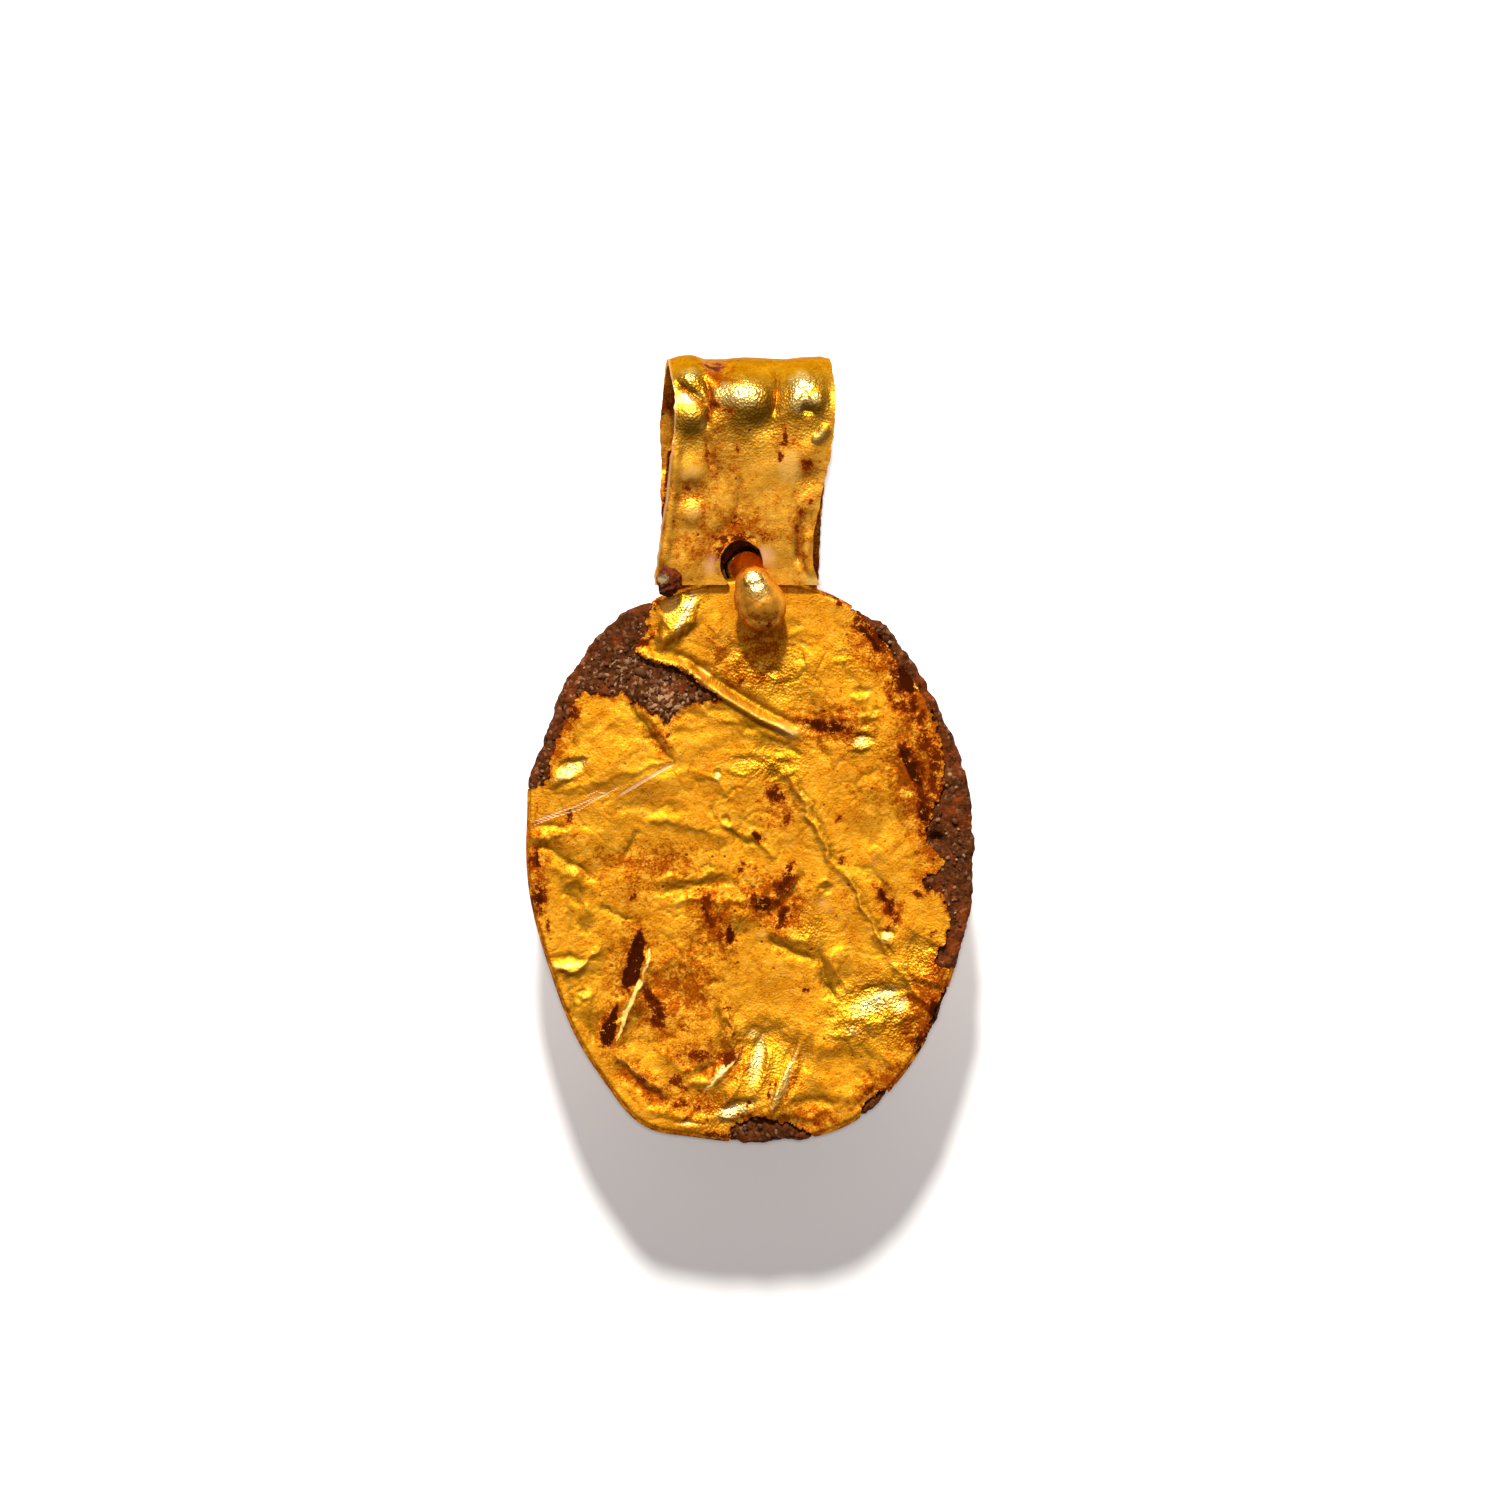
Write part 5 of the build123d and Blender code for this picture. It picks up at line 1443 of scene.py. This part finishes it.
# Stones that the photograph shows one by one: picture place, half size in pixels
NAMED_STONES = [
    (627, 662, 3.4), (618, 672, 3), (628, 677, 2.6), (640, 672, 6), (652, 682, 3), (612, 684, 2.6),
    (655, 700, 3.6), (668, 706, 4.2), (646, 696, 3), (680, 699, 3.4), (692, 697, 3),
    (634, 688, 3.4), (600, 676, 3), (592, 684, 2.6), (606, 664, 2.6), (700, 694, 2.4),
    (676, 690, 3), (660, 690, 2.4), (955, 821, 3.4), (938, 820, 2.8), (932, 801, 2.2),
    (952, 790, 3), (960, 842, 2.6), (948, 858, 2.4), (935, 876, 1.8), (955, 900, 2.2),
    (960, 925, 2.2), (953, 955, 2.2), (943, 762, 2.6), (950, 775, 2.6), (745, 1129, 2.6),
    (760, 1126, 3), (776, 1130, 2.6), (792, 1134, 2.4), (735, 1135, 2.2), (768, 1136, 2.4),
]


def core_top(px, py):
    """Height of the bare core in metres, as the grain above leaves it."""
    return FACE_MEAN + (face_base(px, py) - CORE_BELOW + CRUST_STANDS) * MM


deselect()
bpy.ops.mesh.primitive_ico_sphere_add(subdivisions=2, radius=1)
stone = bpy.context.object
stone_points = places(stone)
stone_faces = np.array([list(face.vertices) for face in stone.data.polygons])
bpy.data.objects.remove(stone)
spots = list(NAMED_STONES)
while len(spots) < STONES:
    x, y = rng.uniform(520, 980), rng.uniform(590, 1150)
    margin = foil_margin(np.array([x]), np.array([y]))[0]
    share = rim_share(np.array([x]), np.array([y]))[0][0]
    # The rim's crust is smoother than the tear
    if margin < -1.5 and share < 0.97 and (x < 760 or rng.uniform() < 0.4):
        spots.append((x, y, rng.uniform(0.7, 2.0)))
grit_points = []
grit_faces = []
for index, (x, y, size) in enumerate(spots):
    squash = np.array([rng.uniform(0.8, 1.3), rng.uniform(0.7, 1.1), rng.uniform(0.5, 0.8)])
    knobbly = 1 + 0.12 * rng.standard_normal(len(stone_points))
    shape = stone_points * knobbly[:, None] * squash * size * PIXEL
    turn = rng.uniform(0, math.tau)
    cos, sin = math.cos(turn), math.sin(turn)
    place_x, place_y = to_metres(x, y)
    lift = core_top(np.array([x]), np.array([y]))[0] + 0.1 * size * PIXEL
    grit_points.append(np.stack([
        shape[:, 0] * cos - shape[:, 1] * sin + place_x,
        shape[:, 0] * sin + shape[:, 1] * cos + place_y,
        shape[:, 2] + lift,
    ], axis=1))
    grit_faces.append(stone_faces + index * len(stone_points))
grit_mesh = bpy.data.meshes.new("grit")
grit_mesh.from_pydata(np.concatenate(grit_points).tolist(), [], np.concatenate(grit_faces).tolist())
grit = bpy.data.objects.new("grit", grit_mesh)
bpy.context.collection.objects.link(grit)
deselect()
grit.select_set(True)
bpy.context.view_layer.objects.active = grit
bpy.ops.object.shade_smooth_by_angle(angle=math.radians(50))
tones = np.repeat(rng.uniform(0, 1, len(spots)), len(stone_points))
named = slice(len(NAMED_STONES) * len(stone_points))
tones[named] = np.maximum(tones[named], PALE_ENOUGH)
paint(grit, "tone", tones)
print(len(spots), "stones with", len(grit_mesh.polygons), "faces")

# %% [markdown]
# Materials
# Nodes could be placed by hand in the Shader Editor, but a script can be read and repeated. One
# helper adds a node with its settings and links. Colours are written as sRGB hex, as a picture
# program shows them, and turned to the linear values that the shader works with.


# %% Material helpers
def linear(hex_colour):
    """An sRGB hex colour as linear red, green, blue and alpha."""
    channels = [int(hex_colour[i : i + 2], 16) / 255 for i in (1, 3, 5)]
    return [c / 12.92 if c <= 0.04045 else ((c + 0.055) / 1.055) ** 2.4 for c in channels] + [1]


def node(tree, kind, inputs=None, out=None, **settings):
    """Adds one node. An input is a number, a colour or an output; out picks the output wanted."""
    made = tree.nodes.new("ShaderNode" + kind)
    for name, value in settings.items():
        setattr(made, name, value)
    for name, value in (inputs or {}).items():
        if isinstance(value, bpy.types.NodeSocket):
            tree.links.new(value, made.inputs[name])
        else:
            made.inputs[name].default_value = value
    return made if out is None else made.outputs[out]


def new_material(name):
    """A new material, its node tree, and its one shader."""
    made = bpy.data.materials.new(name)
    made.use_nodes = True
    tree = made.node_tree
    tree.nodes.clear()
    shader = node(tree, "BsdfPrincipled")
    node(tree, "OutputMaterial", {"Surface": shader.outputs[0]})
    return made, tree, shader


def per_metre(size_mm):
    """Scale of a texture whose pattern repeats at a size in millimetres."""
    return 1 / (size_mm * MM)


print("a pattern of 0.5 mm has a scale of", round(per_metre(0.5)), "to the metre")

# %% [markdown]
# Gold of high purity
# The foil, the strip and the pin are beaten and worn gold of high purity. It reflects deep yellow,
# goes orange where it reflects itself, and is covered with fine pores from hammering and burial.
# Iron salts have stained it red-brown. One flat gold colour would look like new metal, so patterns
# in real sizes make it uneven, and the masks on the vertices say where each finish lies, painted
# shade and painted highlights among them.

# %% Gold: patterns and finishes
# Noise of hammering and wear: size in mm, detail and roughness. Real pores are 0.02 mm wide or less
# and would be finer than a pixel, so the fine noise and the pits are drawn coarser than that.
GOLD_NOISES = {"broad": (1.1, 5.0, 0.6), "ragged": (0.42, 6.0, 0.72), "fine": (0.10, 3.0, 0.75)}
# Size of the cells of grains, pits and flecks of rust, in mm
GOLD_CELLS = {"grains": 0.12, "pits": 0.24, "flecks": 0.55}
# Each finish: its mask, the strengths where it starts and where it is full, and how far noise
# breaks up its edge
GOLD_FINISHES = {
    "stain": ("stain", 0.62, 0.70, 4.6),
    "halo": ("stain", 0.25, 0.75, 4.4),
    "rust": ("rust", 0.20, 0.95, 5.5),
    "dirt_and_shade": ("dirt_and_shade", 0.10, 1.20, 1.6),
    "rubbed_and_highlight": ("rubbed_and_highlight", 0.35, 0.95, 2.0),
    "scratch": ("scratch", 0.30, 0.70, 1.0),
    "worn_crest_highlight": ("worn_crest_highlight", 0.30, 0.65, 1.0),
    "matt": ("matt", 0.45, 0.80, 2.0),
}
# Sums: the name, a pattern, what it is multiplied by, and what is added
GOLD_SUMS = [
    ("breakup", "ragged", 1.0, -0.5),
    ("finer", "fine", 1.0, -0.5),
    ("rough edge", "finer", 0.45, "breakup"),
    ("half fine", "fine", 0.5, 0.0),
    ("speckle", "ragged", 0.5, "half fine"),
    ("freckle", "rust mask", 0.1, "speckle"),
    ("dark", "rough edge", 1.6, "stain mask"),
    ("pit crowd", "rust mask", 0.2, "broad"),
    ("fleck crowd", "rust mask", 0.35, "chance"),
    ("standing", "coarse mask", 1.8, 0.25),
]
# Where two things meet: the name, and twice a pattern with the values where it starts and is full.
# Pores and flecks are dots of dark rust, and the heart of a stain never leaves the stain.
GOLD_MEETINGS = [
    ("heart", "dark", 0.85, 1.25, "stain", 0, 1),
    ("pits", "pits", 0.19, 0.05, "pit crowd", 0.4, 0.62),
    ("flecks", "flecks", 0.16, 0.08, "fleck crowd", 0.82, 0.94),
]
# Colours laid over the gold one after another: pattern or finish, the values where it starts and
# where it is full, its share there, and its colour
GOLD_LAYERS = [
    ("ragged", 0.52, 0.74, 0.45, "#BC7212"),
    ("speckle", 0.53, 0.6, 0.4, "#A65A0A"),
    ("speckle", 0.47, 0.41, 0.35, "#F4C858"),
    # Painted shade with some dirt: olive
    ("dirt_and_shade", 0, 1, 0.66, "#8A640C"),
    ("rust", 0, 1, 0.85, "#A44C06"),
    ("freckle", 0.585, 0.625, 0.6, "#8C3C04"),
    # Rubbed metal with painted highlight: pale gold
    ("rubbed_and_highlight", 0, 1, 0.75, "#FAD880"),
    ("matt", 0, 1, 0.8, "#D9A64C"),
    ("pore", 0, 1, 0.8, "#4E1804"),
    ("halo", 0, 1, 0.8, "#9C4204"),
    ("stain", 0, 1, 1.0, "#5E2002"),
    ("heart", 0, 1, 0.85, "#2A0B01"),
    ("scratch", 0, 1, 0.85, "#CFA684"),
    # Painted highlight on worn crests: cream
    ("worn_crest_highlight", 0, 1, 0.9, "#F2D070"),
]
print(len(GOLD_FINISHES), "finishes and", len(GOLD_LAYERS), "layers of colour over the gold")

# %% [markdown]
# The patterns read object coordinates, so that they stay on the metal. A mask is broken up by noise
# in step with its own strength, so that a spot becomes a ragged stain and nothing grows outside it.


# %% Gold: patterns
def gold_patterns(tree):
    """Every pattern and finish of the gold by its name."""
    place = node(tree, "TexCoord", out="Object")
    found = {}
    for name, (size, detail, harsh) in GOLD_NOISES.items():
        found[name] = node(tree, "TexNoise", {"Vector": place, "Scale": per_metre(size),
                                              "Detail": detail, "Roughness": harsh}, out="Fac")
    for name, size in GOLD_CELLS.items():
        cells = node(tree, "TexVoronoi", {"Vector": place, "Scale": per_metre(size)})
        found[name] = cells.outputs["Distance"]
    # The last cells are the flecks; the red of each one's own colour is its chance to show
    found["chance"] = node(tree, "SeparateColor", {0: cells.outputs["Color"]}, out=0)
    for name in ("stain", "rust", "dirt_and_shade", "rubbed_and_highlight", "scratch", "worn_crest_highlight", "matt", "coarse"):
        found[name + " mask"] = node(tree, "Attribute", out="Fac", attribute_name=name)
    for name, pattern, times, plus in GOLD_SUMS:
        found[name] = node(tree, "Math", {0: found[pattern], 1: times, 2: found.get(plus, plus)},
                           out=0, operation="MULTIPLY_ADD")
    for name, (mask, low, high, amount) in GOLD_FINISHES.items():
        swing = node(tree, "Math", {0: found["rough edge"], 1: amount, 2: 1.0}, out=0,
                     operation="MULTIPLY_ADD")
        broken = node(tree, "Math", {0: found[mask + " mask"], 1: swing}, out=0,
                      operation="MULTIPLY")
        found[name] = node(tree, "MapRange", {0: broken, 1: low, 2: high}, out=0)
    for name, *pair in GOLD_MEETINGS:
        both = [node(tree, "MapRange", {0: found[pattern], 1: low, 2: high}, out=0)
                for pattern, low, high in (pair[:3], pair[3:])]
        found[name] = node(tree, "Math", dict(enumerate(both)), out=0, operation="MULTIPLY")
    for name, first, second in (("pore", "pits", "flecks"), ("worn", "scratch", "worn_crest_highlight")):
        found[name] = node(tree, "Math", {0: found[first], 1: found[second]}, out=0,
                           operation="MAXIMUM")
    found["coarse"] = node(tree, "MapRange", {0: found["coarse mask"], 1: 0.1, 2: 0.9}, out=0)
    return found


print("sums of patterns:", [name for name, *_ in GOLD_SUMS])

# %% [markdown]
# The shader reads them: colour in layers, metal where the gold is bare, roughness by how worn it
# is, and relief for what is too fine to model. Colour alone would look like paint: a thick stain is
# no longer metal, and rubbed crests are the smoothest places.


# %% Gold: shader
def burial_gold(name, body, deep, rough, grain):
    """Worn gold with pores, stains, rust, dirt, rubbed crests and scratches."""
    made, tree, shader = new_material(name)
    found = gold_patterns(tree)
    colour = linear(body)
    for pattern, low, high, share, tint in [("broad", 0.35, 0.68, 1.0, deep), *GOLD_LAYERS]:
        amount = node(tree, "MapRange", {0: found[pattern], 1: low, 2: high}, out=0)
        amount = node(tree, "Math", {0: amount, 1: share}, out=0, operation="MULTIPLY")
        colour = node(tree, "Mix", {0: amount, 6: colour, 7: linear(tint)}, out=2,
                      data_type="RGBA")
    tree.links.new(colour, shader.inputs["Base Color"])
    # Tarnish keeps the metal warm even where it is seen at a glancing angle
    shader.inputs["Specular Tint"].default_value = linear("#D8B078")
    dull = node(tree, "MapRange", {0: found["halo"], 3: 0.5, 4: 0.03}, out=0)
    tree.links.new(dull, shader.inputs["Specular IOR Level"])

    metal = node(tree, "MapRange", {0: found["stain"], 3: 1.0, 4: 0.2}, out=0)
    for pattern, change in (("halo", -0.35), ("worn", -0.7), ("matt", -0.3)):
        metal = node(tree, "Math", {0: found[pattern], 1: change, 2: metal}, out=0,
                     operation="MULTIPLY_ADD", use_clamp=True)
    tree.links.new(metal, shader.inputs["Metallic"])

    roughness = node(tree, "MapRange", {0: found["fine"], 1: 0.3, 2: 0.7, 3: rough - 0.07,
                                        4: rough + 0.07}, out=0)
    for pattern, change in (("halo", 0.14), ("rubbed_and_highlight", -0.14), ("coarse", -0.19), ("stain", 0.12)):
        roughness = node(tree, "Math", {0: found[pattern], 1: change, 2: roughness}, out=0,
                         operation="MULTIPLY_ADD", use_clamp=True)
    tree.links.new(roughness, shader.inputs["Roughness"])

    # Unevenness: hammer dimples, then grain, then pores, in that order of size
    relief = found["fine"]
    for pattern, height in (("ragged", 0.3), ("grains", found["standing"]), ("pore", -0.6),
                            ("scratch", -0.6)):
        relief = node(tree, "Math", {0: found[pattern], 1: height, 2: relief}, out=0,
                      operation="MULTIPLY_ADD")
    bump = node(tree, "Bump", {"Height": relief, "Distance": grain * MM, "Strength": 1.0},
                out="Normal")
    tree.links.new(bump, shader.inputs["Normal"])
    return made


# The foil was beaten thin and left unpolished, so it is the roughest and its glints are broken
# up. The strip was hammered and handled: browner, with softer relief. The pin is a worked rod,
# rubbed by use, and the palest of the three.
foil_gold = burial_gold("beaten_gold_foil", "#E8A220", "#D48610", 0.57, 0.018)
strip_gold = burial_gold("worn_gold_strip", "#D89A2C", "#C88A24", 0.52, 0.011)
pin_gold = burial_gold("worn_gold_pin", "#F2AA3A", "#E69A2C", 0.52, 0.010)
for gold in (foil_gold, strip_gold, pin_gold):
    print(gold.name, "has", len(gold.node_tree.nodes), "nodes")

# %% [markdown]
# Corroded earth
# The core and the crust are iron-rich corrosion with sand baked into it: matt, dark red-brown, with
# paler grains. Noise alone would look like mud, so a Voronoi pattern of sand size makes the grains,
# and noise in two sizes mixes the browns.


# %% Earth
def iron_earth(name, dark, brown, pale, pale_share, rough):
    """Iron-rich corrosion in two browns, rusty in places, with paler grains of sand."""
    made, tree, shader = new_material(name)
    place = node(tree, "TexCoord", out="Object")
    ashy = node(tree, "Attribute", out="Fac", attribute_name="ashy")
    broad = node(tree, "TexNoise", {"Vector": place, "Scale": per_metre(0.8), "Detail": 4.0,
                                    "Roughness": 0.6}, out="Fac")
    fine = node(tree, "TexNoise", {"Vector": place, "Scale": per_metre(0.18), "Detail": 4.0,
                                   "Roughness": 0.75}, out="Fac")
    # Sand as fine as this can be, 0.06 mm, would be lost in a pixel, so it is drawn twice as coarse
    sand = node(tree, "TexVoronoi", {"Vector": place, "Scale": per_metre(0.13)})
    cell = node(tree, "SeparateColor", {0: sand.outputs["Color"]}, out=0)
    sandy = node(tree, "Math", {0: ashy, 1: 0.5, 2: cell}, out=0, operation="MULTIPLY_ADD")
    colour = linear(dark)
    for pattern, low, high, share, tint in ((fine, 0.38, 0.64, 1.0, brown),
                                            (broad, 0.50, 0.66, 0.4, "#984008"),
                                            (sandy, 1 - pale_share, 1.25, 0.9, pale)):
        amount = node(tree, "MapRange", {0: pattern, 1: low, 2: high, 4: share}, out=0)
        colour = node(tree, "Mix", {0: amount, 6: colour, 7: linear(tint)}, out=2,
                      data_type="RGBA")
    tree.links.new(colour, shader.inputs["Base Color"])
    shader.inputs["Roughness"].default_value = rough
    shader.inputs["Specular IOR Level"].default_value = 0.10
    grain = node(tree, "Math", {0: sand.outputs["Distance"], 1: -0.5, 2: fine}, out=0,
                 operation="MULTIPLY_ADD")
    bump = node(tree, "Bump", {"Height": grain, "Distance": 0.045 * MM, "Strength": 1.0},
                out="Normal")
    tree.links.new(bump, shader.inputs["Normal"])
    return made


# The core was packed damp and dried to a crumbly mass, so it is quite matt. The crust grew as
# hard rust and keeps a slight sheen.
core_earth = iron_earth("iron_earth", "#2A0F02", "#623008", "#A8825A", 0.13, 0.8)
crust_earth = iron_earth("iron_crust", "#2A0C02", "#702A06", "#857A56", 0.08, 0.6)
for earth in (core_earth, crust_earth):
    print(earth.name, "has", len(earth.node_tree.nodes), "nodes")

# %% [markdown]
# The sand is quartz with rust on it: dull, each stone in its own tone from dark brown to sandy.
# Clear quartz this small and dirty looks solid, so glass would cost time and show nothing. A colour
# ramp turns the tone that is stored on a stone into its colour.

# %% Grit stones
# Colours by tone; a colour is mixed between the two tones next to it
GRIT_TONES = {0.0: "#301404", 0.6: "#5A3010", 1.0: "#9C7850"}
grit_stone, tree, shader = new_material("quartz_grit")
tone = node(tree, "Attribute", out="Fac", attribute_name="tone")
ramp = node(tree, "ValToRGB", {0: tone})
ramp.color_ramp.elements.new(0.6)
for stop in ramp.color_ramp.elements:
    stop.color = linear(GRIT_TONES[round(stop.position, 1)])
tree.links.new(ramp.outputs[0], shader.inputs["Base Color"])
shader.inputs["Roughness"].default_value = 0.7
shader.inputs["Specular IOR Level"].default_value = 0.2
print("grit goes through", len(ramp.color_ramp.elements), "tones")

# %% [markdown]
# Each piece takes its material, rides on the one rigid body and stands for its construction solid,
# which is hidden. The grit stands for no solid of its own.

# %% Hand the pieces over
PIECES = [
    (front_sheet, foil_gold, "front_foil", "gold_foil"),
    (back_sheet, foil_gold, "back_foil", "gold_foil"),
    (bail, strip_gold, "bail", "gold_strip"),
    (pin, pin_gold, "pin", "gold_pin"),
    (core, core_earth, "core", "earthy_core"),
    (lump, crust_earth, "crust_lump", "earthy_crust"),
]
for piece, material, cad_node, slot in PIECES:
    piece.data.materials.clear()
    piece.data.materials.append(material)
    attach(piece, "root")
    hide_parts(cad_node)
grit.data.materials.append(grit_stone)
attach(grit, "root")
print(len(PIECES) + 1, "pieces ride on the root body")

# %% [markdown]
# The floor
# The pendant lies on white, matt paper. It is a plain plane just under the jewel, because a
# paper's own texture would be too fine to see.

# %% Floor
deselect()
bpy.ops.mesh.primitive_plane_add(size=1.6, location=(0, 0, -0.02 * MM))
table = bpy.context.object
table.name = "white_table"
# Paper of pressed fibres: it has no sheen, so the shadow on it is soft and even
paper, tree, shader = new_material("matt_paper")
shader.inputs["Base Color"].default_value = linear("#CCCBCA")
shader.inputs["Roughness"].default_value = 0.9
shader.inputs["Specular IOR Level"].default_value = 0.1
table.data.materials.append(paper)
print("the table is", round(table.dimensions.x, 2), "m wide")

# %% [markdown]
# The lamp
# One soft lamp stands beyond the top of the picture. The shadow's length tells its height, about 43
# degrees above the table, and the shadow's soft edge tells its size. An area lamp would do too, but
# a sun gives the same light everywhere and has fewer numbers to get right.


# %% Lamp
def add_light(name, kind, energy):
    data = bpy.data.lights.new(name, kind)
    data.energy = energy
    light = bpy.data.objects.new(name, data)
    bpy.context.collection.objects.link(light)
    return light


LAMP_HEIGHT = math.radians(42.5)
LAMP_ASIDE = -0.045  # share that the lamp stands to the right
lamp = add_light("lamp", "SUN", 5.4)
lamp.data.angle = math.radians(5.5)
lamp.data.color = (1.0, 0.985, 0.96)
lamp_way = Vector((LAMP_ASIDE, math.cos(LAMP_HEIGHT), math.sin(LAMP_HEIGHT)))
lamp.rotation_euler = lamp_way.to_track_quat("Z", "Y").to_euler()
print("the lamp has a strength of", round(lamp.data.energy, 2))

# %% [markdown]
# The paper's own light
# In the photograph the paper is nearly white round the bail, and the shadow is pale grey. A
# stronger surround would do that, but it would wash out the gold. Light linking lets two weak
# lamps fall on the paper alone.

# %% Paper lamps
PAPER_LAMP_HEIGHT = 0.5  # metres over the table
PAPER_LAMP_REACH = 0.026  # half the width that it lights, in metres
only_paper = bpy.data.collections.new("only_paper")
only_paper.objects.link(table)
whitener = add_light("paper_lamp", "SPOT", 13)
whitener.data.spot_size = 2 * math.atan(PAPER_LAMP_REACH / PAPER_LAMP_HEIGHT)
whitener.data.spot_blend = 0.4
whitener.data.shadow_soft_size = 0.02
whitener.location = (0, 0.0135, PAPER_LAMP_HEIGHT)
whitener.light_linking.receiver_collection = only_paper
# The second sets how pale the shadow on the paper is
fill = add_light("paper_fill", "SUN", 0.95)
fill.light_linking.receiver_collection = only_paper

# %% [markdown]
# The surround
# White walls fill the shadows, brighter on the lamp's side, so that folds that lean to it shine and
# folds that lean away go olive. For metal as rough as this, a smooth glow does as well as a
# picture of a studio.

# %% Surround
world = bpy.data.worlds.new("soft_surround")
bpy.context.scene.world = world
world.use_nodes = True
tree = world.node_tree
tree.nodes.clear()
way = node(tree, "TexCoord", out="Generated")
near_lamp = node(tree, "VectorMath", {0: way, 1: (LAMP_ASIDE, 0.62, 0.78)}, out="Value",
                 operation="DOT_PRODUCT")
glow = node(tree, "MapRange", {0: near_lamp, 1: 0.40, 2: 1.0, 3: 0.0, 4: 0.66}, out=0,
            interpolation_type="SMOOTHSTEP")
upward = node(tree, "SeparateXYZ", {0: way}, out="Z")
level = node(tree, "MapRange", {0: upward, 1: 0.0, 2: 1.0, 3: 0.12, 4: 0.15}, out=0)
level = node(tree, "Math", {0: glow, 1: level}, out=0, operation="ADD")
surround = node(tree, "Background", {"Color": linear("#FFF0ED"), "Strength": level}, out=0)
node(tree, "OutputWorld", {"Surface": surround})
print("the surround is made of", len(tree.nodes), "nodes")

# %% [markdown]
# The camera
# The photograph looks straight down from far away, since both sides of the rim look alike. The
# camera stands 0.9 m above the table, and its lens makes 1500 pixels as wide as the ruler says. An
# orthographic camera would lose the little perspective there is.

# %% Camera
CAMERA_HEIGHT = 0.9
FRAME_WIDTH = 1500 * PIXEL
camera_data = bpy.data.cameras.new("camera")
camera_data.sensor_width = 36
camera_data.lens = 36 * (CAMERA_HEIGHT - FACE_MEAN) / FRAME_WIDTH
camera_data.clip_start = 0.1
camera_data.clip_end = 5
camera = bpy.data.objects.new("camera", camera_data)
camera.location = (0, 0, CAMERA_HEIGHT)
bpy.context.collection.objects.link(camera)
bpy.context.scene.camera = camera
bpy.context.scene.view_settings.view_transform = "Standard"
print("the lens is", round(camera_data.lens), "mm long")

# %% [markdown]
# The last step updates the view layer, so that every piece stands in its place.

# %% Finish
bpy.context.view_layer.update()
